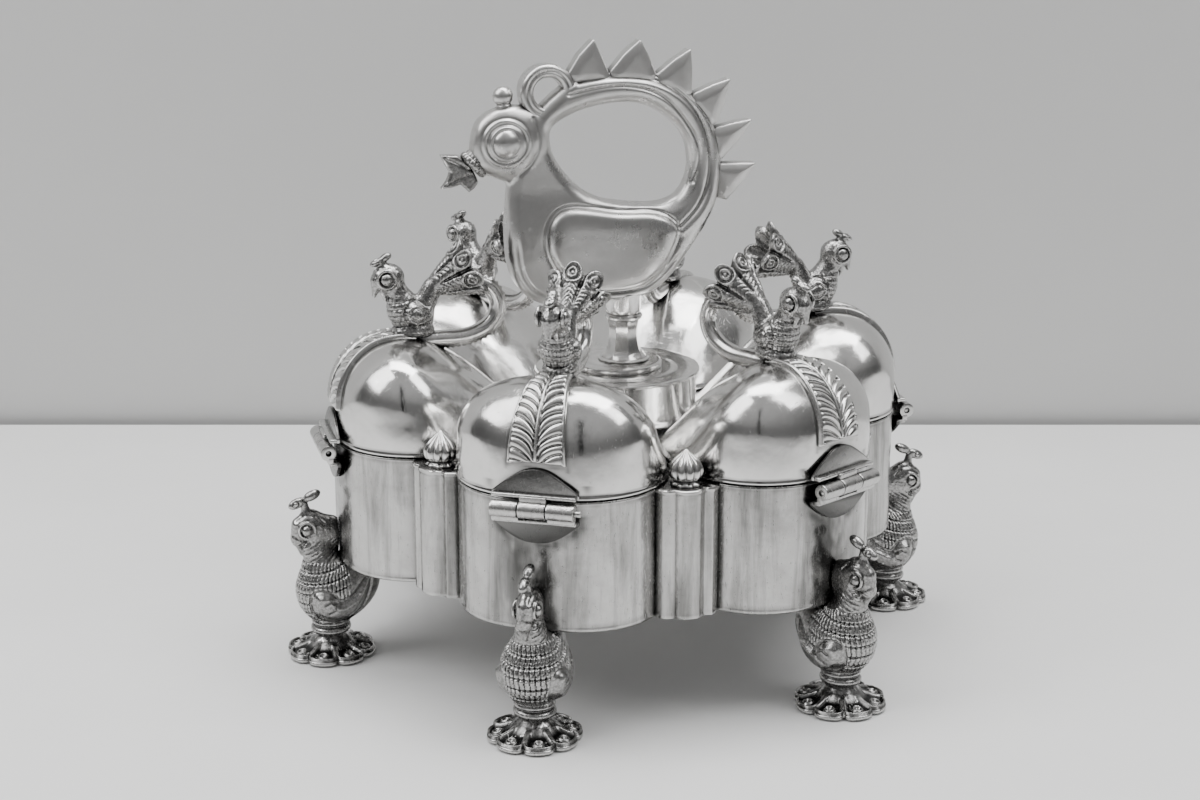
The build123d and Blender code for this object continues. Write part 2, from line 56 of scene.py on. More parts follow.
cam_data = bpy.data.cameras.new("camera")
cam_data.sensor_width = 36.0
cam_data.lens = FPX / 1200.0 * 36.0
cam_data.clip_start = 0.01
cam_data.clip_end = 50
cam = bpy.data.objects.new("camera", cam_data)
bpy.context.scene.collection.objects.link(cam)
pos = cam_to_row(TX, -DIST * math.cos(ELEV), TZ + DIST * math.sin(ELEV)) * MM
fwd = cam_to_row(0, math.cos(ELEV), -math.sin(ELEV))
cam.location = pos
cam.rotation_mode = 'QUATERNION'
cam.rotation_quaternion = fwd.to_track_quat('-Z', 'Y')
bpy.context.scene.camera = cam


# --------------------------------------------------------------- materials
def new_mat(name):
    m = bpy.data.materials.new(name)
    m.use_nodes = True
    nt = m.node_tree
    for n in list(nt.nodes):
        nt.nodes.remove(n)
    out = nt.nodes.new("ShaderNodeOutputMaterial")
    bs = nt.nodes.new("ShaderNodeBsdfPrincipled")
    nt.links.new(bs.outputs[0], out.inputs[0])
    return m, nt, bs


def ramp(nt, src, stops, socket=0):
    r = nt.nodes.new("ShaderNodeValToRGB")
    el = r.color_ramp.elements
    while len(el) < len(stops):
        el.new(0.5)
    for e, (p, c) in zip(el, stops):
        e.position = p
        e.color = (c, c, c, 1) if not isinstance(c, tuple) else (*c, 1)
    nt.links.new(src, r.inputs[0])
    return r.outputs[0]


def tex_noise(nt, coord, scale, detail=4, rough=0.55, dist=0.0):
    n = nt.nodes.new("ShaderNodeTexNoise")
    n.inputs["Scale"].default_value = scale
    n.inputs["Detail"].default_value = detail
    n.inputs["Roughness"].default_value = rough
    n.inputs["Distortion"].default_value = dist
    nt.links.new(coord, n.inputs["Vector"])
    return n.outputs["Fac"]


def math_node(nt, op, a, b=None, clamp=False):
    n = nt.nodes.new("ShaderNodeMath")
    n.operation = op
    n.use_clamp = clamp
    for i, v in enumerate((a, b)):
        if v is None:
            continue
        if isinstance(v, (int, float)):
            n.inputs[i].default_value = v
        else:
            nt.links.new(v, n.inputs[i])
    return n.outputs[0]


def mix_col(nt, fac, a, b, blend='MIX'):
    n = nt.nodes.new("ShaderNodeMix")
    n.data_type = 'RGBA'
    n.blend_type = blend
    for idx, v in ((0, fac), (6, a), (7, b)):
        if isinstance(v, (int, float)):
            n.inputs[idx].default_value = v
        elif isinstance(v, tuple):
            n.inputs[idx].default_value = (*v, 1)
        else:
            nt.links.new(v, n.inputs[idx])
    return n.outputs[2]


def silver(name, bright=0.86, dark=0.10, rough=0.13, cavity=0.0, wear=0.5, scratch=0.35, micro=0.0, tarnish=0.35,
           bump_amt=0.12, streak=0.0, occ_mm=1.6):
    """Polished silver with soft tarnish clouds, hairline scratches, and recesses darkened by painted shade (on the
    oxidised parts also by oxide).
    """
    m, nt, bs = new_mat(name)
    tc = nt.nodes.new("ShaderNodeTexCoord")
    ob = tc.outputs["Object"]
    geo = nt.nodes.new("ShaderNodeNewGeometry")
    # tarnish clouds
    cloud = tex_noise(nt, ob, 70.0, 5, 0.6, 0.4)
    cloud2 = tex_noise(nt, ob, 260.0, 4, 0.6)
    clouds = ramp(nt, math_node(nt, 'ADD', math_node(nt, 'MULTIPLY', cloud, 0.7), math_node(nt, 'MULTIPLY', cloud2, 0.3)),
                  [(0.42, 0.0), (0.72, 1.0)])
    # hairline scratches: stretched noise in two directions
    mp = nt.nodes.new("ShaderNodeMapping")
    mp.inputs["Scale"].default_value = (1.0, 9.0, 0.6)
    mp.inputs["Rotation"].default_value = (0.3, 0.5, 0.8)
    nt.links.new(ob, mp.inputs[0])
    s1 = tex_noise(nt, mp.outputs[0], 420.0, 3, 0.7)
    mp2 = nt.nodes.new("ShaderNodeMapping")
    mp2.inputs["Scale"].default_value = (7.0, 0.7, 1.2)
    mp2.inputs["Rotation"].default_value = (1.1, 0.2, 0.1)
    nt.links.new(ob, mp2.inputs[0])
    s2 = tex_noise(nt, mp2.outputs[0], 380.0, 3, 0.7)
    scr = ramp(nt, math_node(nt, 'MAXIMUM', s1, s2), [(0.62, 0.0), (0.74, 1.0)])
    # painted shade in the recesses and worn edges, from the surface's own curvature
    point = ramp(nt, geo.outputs["Pointiness"], [(0.40, 1.0), (0.495, 0.0)])
    edge = ramp(nt, geo.outputs["Pointiness"], [(0.51, 0.0), (0.60, 1.0)])
    base = mix_col(nt, math_node(nt, 'MULTIPLY', clouds, tarnish), (bright, bright * 0.99, bright * 0.975),
                   (bright * 0.52, bright * 0.51, bright * 0.49))
    if micro > 0:
        fine = ramp(nt, tex_noise(nt, ob, 1500.0, 4, 0.65), [(0.40, 0.0), (0.62, 1.0)])
        base = mix_col(nt, math_node(nt, 'MULTIPLY', fine, micro), base, (dark * 1.8, dark * 1.8, dark * 1.75))
    if streak > 0:
        # vertical dark streaks painted into the colour: painted dark reflections on the walls
        mp3 = nt.nodes.new("ShaderNodeMapping")
        mp3.inputs["Scale"].default_value = (1.0, 1.0, 0.10)
        nt.links.new(ob, mp3.inputs[0])
        st = ramp(nt, tex_noise(nt, mp3.outputs[0], 170.0, 5, 0.68, 0.3), [(0.44, 0.0), (0.66, 1.0)])
        base = mix_col(nt, math_node(nt, 'MULTIPLY', st, streak), base, (dark * 2.6, dark * 2.6, dark * 2.5))
    if cavity > 0:
        # painted shade: the stored cavity depth (with the painted-in dark patches added to it) and the ambient
        # occlusion darken recesses and the gaps between parts
        ao = nt.nodes.new("ShaderNodeAttribute")
        ao.attribute_name = "cavity"
        occ = nt.nodes.new("ShaderNodeAmbientOcclusion")
        occ.samples = 6
        occ.inputs["Distance"].default_value = occ_mm * 0.001
        occlusion_shade = ramp(nt, occ.outputs["AO"], [(0.32, 1.0), (0.86, 0.0)])
        rec = math_node(nt, 'MAXIMUM', point, math_node(nt, 'MAXIMUM', ao.outputs["Fac"], occlusion_shade), True)
        base = mix_col(nt, math_node(nt, 'MULTIPLY', rec, cavity), base, (dark, dark * 0.99, dark * 0.96))
    base = mix_col(nt, math_node(nt, 'MULTIPLY', edge, wear), base, (0.93, 0.925, 0.91))
    nt.links.new(base, bs.inputs["Base Color"])
    bs.inputs["Metallic"].default_value = 1.0
    r = math_node(nt, 'ADD', math_node(nt, 'MULTIPLY', clouds, 0.13), rough)
    r = math_node(nt, 'ADD', r, math_node(nt, 'MULTIPLY', scr, 0.10 * scratch / 0.35), True)
    nt.links.new(r, bs.inputs["Roughness"])
    # bump: planishing waves and scratches
    h = math_node(nt, 'ADD', math_node(nt, 'MULTIPLY', tex_noise(nt, ob, 95.0, 3, 0.5), 1.0),
                  math_node(nt, 'MULTIPLY', scr, -0.10 * scratch))
    h = math_node(nt, 'ADD', h, math_node(nt, 'MULTIPLY', tex_noise(nt, ob, 1100.0, 3, 0.6), 0.03 + 0.25 * micro))
    bp = nt.nodes.new("ShaderNodeBump")
    bp.inputs["Strength"].default_value = bump_amt
    bp.inputs["Distance"].default_value = 0.002
    nt.links.new(h, bp.inputs["Height"])
    nt.links.new(bp.outputs[0], bs.inputs["Normal"])
    return m


M_POL = silver("silver_polished", bright=0.72, dark=0.05, rough=0.12, cavity=0.95, tarnish=0.34, scratch=0.5, bump_amt=0.11, occ_mm=3.5)
# cup walls and pillars: the streak amount paints in dark reflections, and the long occlusion reach paints shade
M_CUP = silver("silver_cup", bright=0.54, dark=0.06, rough=0.18, cavity=0.95, tarnish=0.60, scratch=0.9, bump_amt=0.16, streak=0.85,
               occ_mm=6.0)
M_CUP2 = silver("silver_pedestal", bright=0.78, rough=0.15, cavity=0.9, tarnish=0.35, scratch=0.5, bump_amt=0.10, occ_mm=2.0)
M_OX = silver("silver_oxidised", bright=0.42, dark=0.012, rough=0.23, cavity=1.0, wear=0.8, tarnish=0.45, micro=0.50,
              bump_amt=0.16)
M_LEAF = silver("silver_leaf", bright=0.72, dark=0.05, rough=0.17, cavity=1.0, wear=0.7, tarnish=0.35, micro=0.10,
                bump_amt=0.10)
M_PEA = silver("silver_peacock", bright=0.64, dark=0.07, rough=0.27, cavity=0.95, wear=0.55, tarnish=0.45, scratch=0.6,
               bump_amt=0.13)
# tail spikes: a little darker than the peacock silver and with a longer occlusion reach, painting shade on their faces
# and near their bases
M_SPIKE = silver("silver_spikes", bright=0.60, dark=0.07, rough=0.36, cavity=1.0, wear=0.6, tarnish=0.5, scratch=0.6,
                 bump_amt=0.14, occ_mm=3.0)
M_HINGE = silver("silver_hinge", bright=0.62, dark=0.045, rough=0.22, cavity=1.0, wear=0.12, tarnish=0.5, micro=0.2,
                 bump_amt=0.15)

MATS = {"polished_silver": M_POL, "oxidised_silver": M_OX, "hinge_silver": M_HINGE, "hinge_steel_silver": M_HINGE}
slot_of = {s["node"]: s["material_slot"] for s in frame["record"]["subparts"]}
for name, ob in frame["nodes"].items():
    m = MATS[slot_of[name]]
    if name.startswith("chamber_cup"):
        m = M_CUP
    if not ob.material_slots:
        ob.data.materials.append(m)
    for sl in ob.material_slots:
        sl.material = m

# ============================================================ shape tools
PH = [60.0 * i for i in range(6)]


def turn(P, deg):
    a = math.radians(deg)
    c, s = math.cos(a), math.sin(a)
    Q = np.array(P, dtype=float)
    Q[..., 0], Q[..., 1] = P[..., 0] * c - P[..., 1] * s, P[..., 0] * s + P[..., 1] * c
    return Q


def mesh_of(name, V, F, smooth=True):
    """V in millimetres; F a list of face index lists or an (n,4)/(n,3) array."""
    me = bpy.data.meshes.new(name)
    V = np.asarray(V, dtype=np.float64) * MM
    if isinstance(F, np.ndarray):
        n, k = F.shape
        me.vertices.add(len(V))
        me.vertices.foreach_set("co", V.ravel())
        me.loops.add(n * k)
        me.loops.foreach_set("vertex_index", F.astype(np.int32).ravel())
        me.polygons.add(n)
        me.polygons.foreach_set("loop_start", np.arange(0, n * k, k, dtype=np.int32))
        me.update(calc_edges=True)
    else:
        me.from_pydata([tuple(p) for p in V], [], F)
        me.update(calc_edges=True)
    me.validate()
    if smooth:
        me.polygons.foreach_set("use_smooth", np.ones(len(me.polygons), dtype=bool))
    return me


def cavity(me, iters=14, scale=0.35):
    """Stores how far each point lies below its smoothed neighbourhood."""
    n = len(me.vertices)
    P = np.empty(n * 3)
    me.vertices.foreach_get("co", P)
    P = P.reshape(-1, 3) / MM
    N = np.empty(n * 3)
    me.vertices.foreach_get("normal", N)
    N = N.reshape(-1, 3)
    E = np.empty(len(me.edges) * 2, dtype=np.int32)
    me.edges.foreach_get("vertices", E)
    E = E.reshape(-1, 2)
    deg = np.bincount(E.ravel(), minlength=n).astype(float)
    deg[deg == 0] = 1
    Q = P.copy()
    acc = np.zeros(n)
    for it in range(iters):
        S = np.stack([np.bincount(E[:, 0], Q[E[:, 1], k], n) + np.bincount(E[:, 1], Q[E[:, 0], k], n) for k in range(3)], 1)
        Q = 0.35 * Q + 0.65 * S / deg[:, None]
        if it in (3, iters - 1):
            h = ((Q - P) * N).sum(1)
            acc = np.maximum(acc, np.clip(h / (scale * (0.5 if it == 3 else 1.0)), 0, 1))
    at = me.attributes.new("cavity", 'FLOAT', 'POINT')
    at.data.foreach_set("value", acc.astype(np.float32))
    return me


def piece(me, name, mat, body, replaces=(), deg=0.0):
    ob = bpy.data.objects.new(name, me)
    bpy.context.scene.collection.objects.link(ob)
    if deg:
        ob.matrix_world = Matrix.Rotation(math.radians(deg), 4, 'Z')
    if not me.materials:
        me.materials.append(mat)
    bpy.context.view_layer.update()
    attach(ob, body)
    for r in replaces:
        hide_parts(r)
    return ob


def grid_faces(nu, nv, closed_u=False, closed_v=False):
    iu = np.arange(nu if closed_u else nu - 1)
    iv = np.arange(nv if closed_v else nv - 1)
    A, B = np.meshgrid(iu, iv, indexing='ij')
    A1, B1 = (A + 1) % nu, (B + 1) % nv
    return np.stack([A * nv + B, A1 * nv + B, A1 * nv + B1, A * nv + B1], -1).reshape(-1, 4)


def fix_out(V, F):
    """Turns all faces outwards when the closed surface's volume comes out negative."""
    A, B, C = V[F[:, 0]], V[F[:, 1]], V[F[:, 2]]
    vol = (A * np.cross(B, C)).sum()
    if F.shape[1] == 4:
        D = V[F[:, 3]]
        vol += (A * np.cross(C, D)).sum()
    return F[:, ::-1] if vol < 0 else F


def spline(pts, n, closed=True):
    """Natural or periodic cubic through pts, chord-length parameter, n samples."""
    P = np.asarray(pts, dtype=float)
    if closed:
        P = np.vstack([P, P[:1]])
    t = np.concatenate([[0], np.cumsum(np.linalg.norm(np.diff(P, axis=0), axis=1))])
    m = len(P) - 1
    h = np.diff(t)
    if closed:
        A = np.zeros((m, m))
        R = np.zeros((m, P.shape[1]))
        for i in range(m):
            hm, hp = h[i - 1], h[i]
            A[i, (i - 1) % m] += hm
            A[i, i] += 2 * (hm + hp)
            A[i, (i + 1) % m] += hp
            R[i] = 6 * ((P[i + 1] - P[i]) / hp - (P[i] - P[i - 1 if i else m - 1]) / hm)
        M = np.linalg.solve(A, R)
        M = np.vstack([M, M[:1]])
    else:
        A = np.eye(m + 1)
        R = np.zeros((m + 1, P.shape[1]))
        for i in range(1, m):
            A[i, i - 1], A[i, i], A[i, i + 1] = h[i - 1], 2 * (h[i - 1] + h[i]), h[i]
            R[i] = 6 * ((P[i + 1] - P[i]) / h[i] - (P[i] - P[i - 1]) / h[i - 1])
        M = np.linalg.solve(A, R)
    q = np.linspace(0, t[-1], n, endpoint=not closed)
    k = np.clip(np.searchsorted(t, q, side='right') - 1, 0, m - 1)
    a = (t[k + 1] - q)[:, None]
    b = (q - t[k])[:, None]
    H = h[k][:, None]
    return (M[k] * a ** 3 + M[k + 1] * b ** 3) / (6 * H) + (P[k] / H - M[k] * H / 6) * a + (P[k + 1] / H - M[k + 1] * H / 6) * b


def wobble(P, amp, scale, seed=0.0):
    """Slow hand-made unevenness along the direction away from the axis."""
    out = np.empty(len(P))
    for i, p in enumerate(P):
        out[i] = noise.noise(Vector((p[0] * scale + seed, p[1] * scale - seed * 0.7, p[2] * scale + 3.1 * seed)))
    return out * amp


# ---- signed-distance modelling
class Field:
    def __init__(self, lo, hi, h):
        self.lo, self.h = np.array(lo, float), h
        n = [int(math.ceil((b - a) / h)) + 1 for a, b in zip(lo, hi)]
        ax = [np.float32(a) + np.arange(k, dtype=np.float32) * np.float32(h) for a, k in zip(lo, n)]
        self.X, self.Y, self.Z = ax[0][:, None, None], ax[1][None, :, None], ax[2][None, None, :]
        self.n = n

    def ell(self, c, r, tilt=0.0):
        """Ellipsoid; tilt turns it about the v axis, degrees."""
        x, y, z = self.X - c[0], self.Y - c[1], self.Z - c[2]
        if tilt:
            a = math.radians(tilt)
            x, z = x * math.cos(a) + z * math.sin(a), -x * math.sin(a) + z * math.cos(a)
        k0 = np.sqrt((x / r[0]) ** 2 + (y / r[1]) ** 2 + (z / r[2]) ** 2)
        k1 = np.sqrt((x / r[0] ** 2) ** 2 + (y / r[1] ** 2) ** 2 + (z / r[2] ** 2) ** 2)
        return k0 * (k0 - 1) / np.maximum(k1, 1e-6)

    def cone(self, a, b, ra, rb):
        a, b = np.array(a, float), np.array(b, float)
        d = b - a
        L2 = float(d @ d)
        x, y, z = self.X - a[0], self.Y - a[1], self.Z - a[2]
        t = np.clip((x * d[0] + y * d[1] + z * d[2]) / L2, 0, 1)
        return np.sqrt((x - t * d[0]) ** 2 + (y - t * d[1]) ** 2 + (z - t * d[2]) ** 2) - (ra + (rb - ra) * t)

    def chain(self, pts, rad):
        d = None
        for (p, q, r0, r1) in zip(pts, pts[1:], rad, rad[1:]):
            c = self.cone(p, q, r0, r1)
            d = c if d is None else np.minimum(d, c)
        return d

    def torus(self, c, n, R, r):
        n = np.array(n, float) / np.linalg.norm(n)
        x, y, z = self.X - c[0], self.Y - c[1], self.Z - c[2]
        s = x * n[0] + y * n[1] + z * n[2]
        w = np.sqrt(np.maximum(x * x + y * y + z * z - s * s, 0))
        return np.sqrt((w - R) ** 2 + s ** 2) - r

    def mesh(self, d, name):
        g = openvdb.FloatGrid()
        g.background = 3.0 * self.h
        d = np.clip(d + np.zeros(self.n, dtype=np.float32), -3 * self.h, 3 * self.h).astype(np.float32)
        g.copyFromArray(np.ascontiguousarray(d))
        pts, quads = g.convertToQuads(0.0)
        V = pts.astype(float) * self.h + self.lo
        return V, fix_out(V, quads.astype(np.int64))


def smin(a, b, k):
    h = np.clip(0.5 + 0.5 * (b - a) / k, 0, 1)
    return b + (a - b) * h - k * h * (1 - h)


def smax(a, b, k):
    return -smin(-a, -b, k)


def poly_dist(poly, x, z):
    """Signed distance to a closed 2-D outline, negative inside; x and z are broadcast arrays."""
    P = np.asarray(poly, dtype=np.float32)
    x, z = np.broadcast_arrays(x, z)
    d2 = np.full(x.shape, 1e9, dtype=np.float32)
    ins = np.zeros(x.shape, dtype=bool)
    for (ax, az), (bx, bz) in zip(P, np.roll(P, -1, axis=0)):
        ex, ez = bx - ax, bz - az
        wx, wz = x - ax, z - az
        t = np.clip((wx * ex + wz * ez) / max(ex * ex + ez * ez, 1e-9), 0, 1)
        d2 = np.minimum(d2, (wx - t * ex) ** 2 + (wz - t * ez) ** 2)
        if az != bz:
            cross = ((az <= z) != (bz <= z)) & (x < ax + (z - az) / (bz - az) * ex)
            ins ^= cross
    d = np.sqrt(d2)
    return np.where(ins, -d, d)


def line_dist(pts, x, z):
    P = np.asarray(pts, dtype=np.float32)
    x, z = np.broadcast_arrays(x, z)
    d2 = np.full(x.shape, 1e9, dtype=np.float32)
    for (ax, az), (bx, bz) in zip(P[:-1], P[1:]):
        ex, ez = bx - ax, bz - az
        wx, wz = x - ax, z - az
        t = np.clip((wx * ex + wz * ez) / max(ex * ex + ez * ez, 1e-9), 0, 1)
        d2 = np.minimum(d2, (wx - t * ex) ** 2 + (wz - t * ez) ** 2)
    return np.sqrt(d2)


def step01(a, b, x):
    t = np.clip((x - a) / (b - a), 0, 1)
    return t * t * (3 - 2 * t)


# =================================================== plan and dome surface
HALF_PLAN = [(72.0, 0.0), (71.7, 5.5), (70.3, 11.5), (67.0, 17.2), (61.8, 21.6), (55.5, 24.0), (48.5, 24.5),
             (43.0, 23.3), (37.0, 20.4), (31.0, 17.0), (26.0, 13.1), (22.5, 7.8), (20.9, 0.0)]
PLAN_PTS = HALF_PLAN + [(u, -v) for (u, v) in reversed(HALF_PLAN) if abs(v) > 1e-6]
NP_ = 360
PLAN = spline(PLAN_PTS, NP_)
LEVELS = np.array([(56.6, 72.00, 20.9, 24.50), (60.5, 72.00, 25.0, 24.40), (65.0, 71.80, 29.7, 23.70),
                   (69.5, 71.10, 34.4, 22.90), (73.5, 69.40, 39.2, 20.80), (76.7, 66.90, 44.1, 17.70),
                   (79.0, 63.90, 48.0, 13.40), (80.3, 60.60, 51.2, 8.40), (80.7, 57.60, 53.8, 3.40)])
LV = spline(LEVELS, 90, closed=False)            # finer rows of the same table
_half = spline(HALF_PLAN, 400, closed=False)
_o = np.argsort(_half[:, 0])
HU, HV = _half[_o, 0], np.maximum(_half[_o, 1], 0)


def level(z):
    zz = np.clip(z, LV[0, 0], LV[-1, 0])
    o = np.argsort(LV[:, 0])
    return tuple(np.interp(zz, LV[o, 0], LV[o, k]) for k in (1, 2, 3))


def in_dome(u, v, z, grow=0.0):
    uo, ui, w = level(z)
    uo, ui, w = uo + grow, ui - grow, w + grow
    t = (u - ui) / (uo - ui) * 51.1 + 20.9
    hv = np.interp(t, HU, HV, left=-1, right=-1) / 24.5 * w
    return (np.abs(v) < hv) & (z < 80.72 + grow) & (t > 20.9) & (t < 72.0)


CEN = (57.0, 66.0)


def dome_ray(al, v):
    """Distance from the dome's inner centre line to its outer surface along angle al."""
    lo = np.full(np.broadcast(al, v).shape, 4.0)
    hi = np.full(lo.shape, 36.0)
    for _ in range(26):
        mid = 0.5 * (lo + hi)
        ok = in_dome(CEN[0] + mid * np.cos(al), v, CEN[1] + mid * np.sin(al))
        lo, hi = np.where(ok, mid, lo), np.where(ok, hi, mid)
    return lo


# ------------------------------------------------------------------ cups
def cup_mesh(seed):
    """Outer wall, turned bottom edge, floor, inner wall and rim as one closed skin."""
    rows = []

    def ring(off, z, dz=None):
        t = (PLAN[:, 0] - 20.9) / 51.1
        u = 20.9 + off + (51.1 - 2 * off) * t
        v = PLAN[:, 1] / 24.5 * (24.5 - off)
        return np.stack([u, v, np.full(NP_, float(z))], 1)
    zt = 56.13
    cu = (46.0, 0.0)
    for k in (0.0, 0.35, 0.7, 0.93):
        r = ring(0.9, 25.05)
        r[:, 0] = cu[0] + (r[:, 0] - cu[0]) * k
        r[:, 1] = r[:, 1] * k
        rows.append(r)
    rows += [ring(0.55, 25.0), ring(0.2, 25.12), ring(0.02, 25.45), ring(0.0, 25.8), ring(0.1, 26.15)]
    for z in np.linspace(26.5, 55.2, 34):
        rows.append(ring(0.1, z))
    rows += [ring(0.0, 55.5), ring(0.0, 55.95), ring(0.12, zt - 0.02), ring(0.4, zt), ring(0.85, zt), ring(1.0, zt - 0.15)]
    for z in np.linspace(55.0, 27.4, 12):
        rows.append(ring(1.0, z))
    rows += [ring(1.2, 26.5), ring(1.8, 26.2)]
    for k in (0.9, 0.5, 0.0):
        r = ring(1.8, 26.2)
        r[:, 0] = cu[0] + (r[:, 0] - cu[0]) * k
        r[:, 1] = r[:, 1] * k
        rows.append(r)
    P = np.stack(rows)                                    # rows, n, 3
    nr = len(rows)
    wall = slice(9, 43)
    C = P[wall].reshape(-1, 3)
    d = wobble(C, 0.22, 0.06, seed) + wobble(C, 0.07, 0.17, seed + 5)
    d = np.minimum(d, 0.05).reshape(-1, NP_)
    env = np.sin(np.linspace(0.12, math.pi - 0.12, d.shape[0]))[:, None]
    ctr = np.array([46.0, 0.0])
    vec = P[wall][..., :2] - ctr
    vec /= np.linalg.norm(vec, axis=2, keepdims=True)
    P[wall][..., :2] += vec * (d * env)[..., None]
    V = P.reshape(-1, 3)
    F = grid_faces(nr, NP_, closed_v=True)
    F = fix_out(V, F)
    bmv = V
    return mesh_of("cup_skin", bmv, F)


# ----------------------------------------------------------------- domes
def dome_mesh(seed):
    rows = []

    def ring(z, off=0.0, uo=None, ui=None, w=None):
        if uo is None:
            uo, ui, w = level(z)
        t = (PLAN[:, 0] - 20.9) / 51.1
        return np.stack([ui + off + (uo - ui - 2 * off) * t, PLAN[:, 1] / 24.5 * (w - off), np.full(NP_, float(z))], 1)
    rows += [ring(56.95, 0.95, 72, 20.9, 24.5), ring(56.62, 0.7, 72, 20.9, 24.5), ring(56.6, 0.1, 72, 20.9, 24.5),
             ring(56.62, -0.12, 72, 20.9, 24.5), ring(56.8, -0.24, 72, 20.9, 24.5), ring(57.15, -0.24, 72, 20.9, 24.5),
             ring(57.4, -0.10, 72, 20.9, 24.5)]
    lv = LV[(LV[:, 0] > 57.6)]
    first = len(rows)
    for (z, uo, ui, w) in lv:
        rows.append(ring(z, 0.0, uo, ui, w))
    top = rows[-1]
    for k in (0.6, 0.25, 0.0):
        r = top.copy()
        r[:, 0] = 55.8 + (r[:, 0] - 55.8) * k
        r[:, 1] *= k
        r[:, 2] = 80.7 + 0.06 * (1 - k)
        rows.append(r)
    last = len(rows)
    P = np.stack(rows)
    # soft dents
    C = P[first:last].reshape(-1, 3)
    d = wobble(C, 0.16, 0.07, seed) + wobble(C, 0.05, 0.2, seed + 9)
    d = np.minimum(d, 0.03).reshape(-1, NP_)
    n = P[first:last] - np.array([54.0, 0, 60.0])
    n /= np.linalg.norm(n, axis=2, keepdims=True)
    P[first:last] += n * d[..., None]
    outer = P
    inner = []
    for (z, uo, ui, w) in lv[::-3]:
        if w < 3.0:
            continue
        zz = max(z - (z - 56) / 25.0, 57.0)
        inner.append(ring(zz, 0.1, uo - 0.9, ui + 1.4, w - 0.9))
    cap = inner[0]
    caps = []
    for k in (0.0, 0.5):
        r = cap.copy()
        r[:, 0] = 55.8 + (r[:, 0] - 55.8) * k
        r[:, 1] *= k
        caps.append(r)
    allr = np.concatenate([outer, np.stack(caps + inner), outer[:1]])
    V = allr.reshape(-1, 3)
    F = grid_faces(len(allr), NP_, closed_v=True)
    return mesh_of("dome_skin", V, fix_out(V, F))


def weld(me, dist=0.0004):
    bm = bmesh.new()
    bm.from_mesh(me)
    bmesh.ops.remove_doubles(bm, verts=bm.verts, dist=dist * MM)
    bmesh.ops.dissolve_degenerate(bm, dist=1e-7, edges=bm.edges)
    bm.normal_update()
    bm.to_mesh(me)
    bm.free()
    me.polygons.foreach_set("use_smooth", np.ones(len(me.polygons), dtype=bool))
    return me


# ----------------------------------------------------------- leaf strap
def strap_mesh():
    """Chased feather leaf over the dome."""
    a0 = math.asin((64.3 - CEN[1]) / 15.0) * 1.0
    na, nv = 260, 75
    al = np.linspace(-0.105, 1.92, na)
    # centre line and its length
    c = dome_ray(al, np.zeros(na))
    cu, cz = CEN[0] + c * np.cos(al), CEN[1] + c * np.sin(al)
    s = np.concatenate([[0], np.cumsum(np.hypot(np.diff(cu), np.diff(cz)))])
    hw = np.interp(cu, [47.0, 52.0, 60.0, 66.0, 71.0, 72.0], [2.3, 3.2, 4.5, 5.6, 6.6, 6.95])
    hw = np.where(cz < 70, np.maximum(hw, 6.6 + (70 - cz) * 0.07), hw)
    q = np.linspace(-1, 1, nv)
    v = q[None, :] * hw[:, None]
    A = np.repeat(al[:, None], nv, 1)
    # concave lower edge
    sag = 0.050 * (1 - q ** 2)
    A = A + sag[None, :] * np.exp(-s[:, None] / 3.0)
    R = dome_ray(A, v)
    edge = 1 - np.abs(q)[None, :]
    ew = edge * hw[:, None]                        # mm from the side edge
    th = 1.25 * np.sqrt(np.clip(1 - (1 - np.clip(ew / 0.55, 0, 1)) ** 2, 0, 1))
    # curved veins: steep beside the spine, flattening towards the edge
    av = np.abs(v)
    qq = np.clip(np.abs(q), 0, 1)[None, :] * np.ones_like(v)
    rise = 6.3 * np.sqrt(1 - (1 - qq) ** 2) * (hw / 6.9)[:, None] ** 0.6
    sgn = np.where(q < 0, 0.0, 0.42)[None, :]
    jit = 0.10 * np.sin(s[:, None] * 0.9 + np.where(q < 0, 0.0, 2.0)[None, :])
    ph = (s[:, None] - rise) / 2.45 + sgn + jit
    vein = np.abs(ph - np.round(ph)) * 2.45                # mm along the leaf to the nearest cut
    field = step01(0.55, 1.0, ew) * step01(0.30, 0.62, av)
    cut = np.exp(-(vein / 0.33) ** 2)
    relief = (-0.50 * cut + 0.13 * step01(0.4, 1.1, vein)) * field
    spine = 0.22 * np.exp(-(av / 0.34) ** 2) - 0.30 * np.exp(-((av - 0.50) / 0.20) ** 2)
    spine *= step01(0.6, 1.6, s)[:, None]
    border = -0.10 * np.exp(-((ew - 0.80) / 0.20) ** 2)
    fade = 1 - step01(s[-1] - 7.5, s[-1] - 3.5, s)[:, None]
    T = th + (relief + spine * 1.0 + border) * fade * np.clip(th, 0, 1)
    end = np.sqrt(np.clip(1 - (1 - np.clip(s / 0.7, 0, 1)) ** 2, 0, 1))[:, None]
    T = T * end
    T = np.maximum(T, 0.0)
    top = np.stack([CEN[0] + (R + T) * np.cos(A), v, CEN[1] + (R + T) * np.sin(A)], -1)
    bot = np.stack([CEN[0] + (R - 0.25) * np.cos(A), v * 0.995, CEN[1] + (R - 0.25) * np.sin(A)], -1)
    V = np.concatenate([top.reshape(-1, 3), bot.reshape(-1, 3)])
    F1 = grid_faces(na, nv)
    F2 = F1[:, ::-1] + na * nv
    o = na * nv
    side = []
    for i in range(na - 1):
        side.append((i * nv, o + i * nv, o + (i + 1) * nv, (i + 1) * nv))
        j = nv - 1
        side.append(((i + 1) * nv + j, o + (i + 1) * nv + j, o + i * nv + j, i * nv + j))
    for j in range(nv - 1):
        side.append((j + 1, o + j + 1, o + j, j))
        i = (na - 1) * nv
        side.append((i + j, o + i + j, o + i + j + 1, i + j + 1))
    F = np.concatenate([F1, F2, np.array(side)])
    return V, fix_out(V, F)


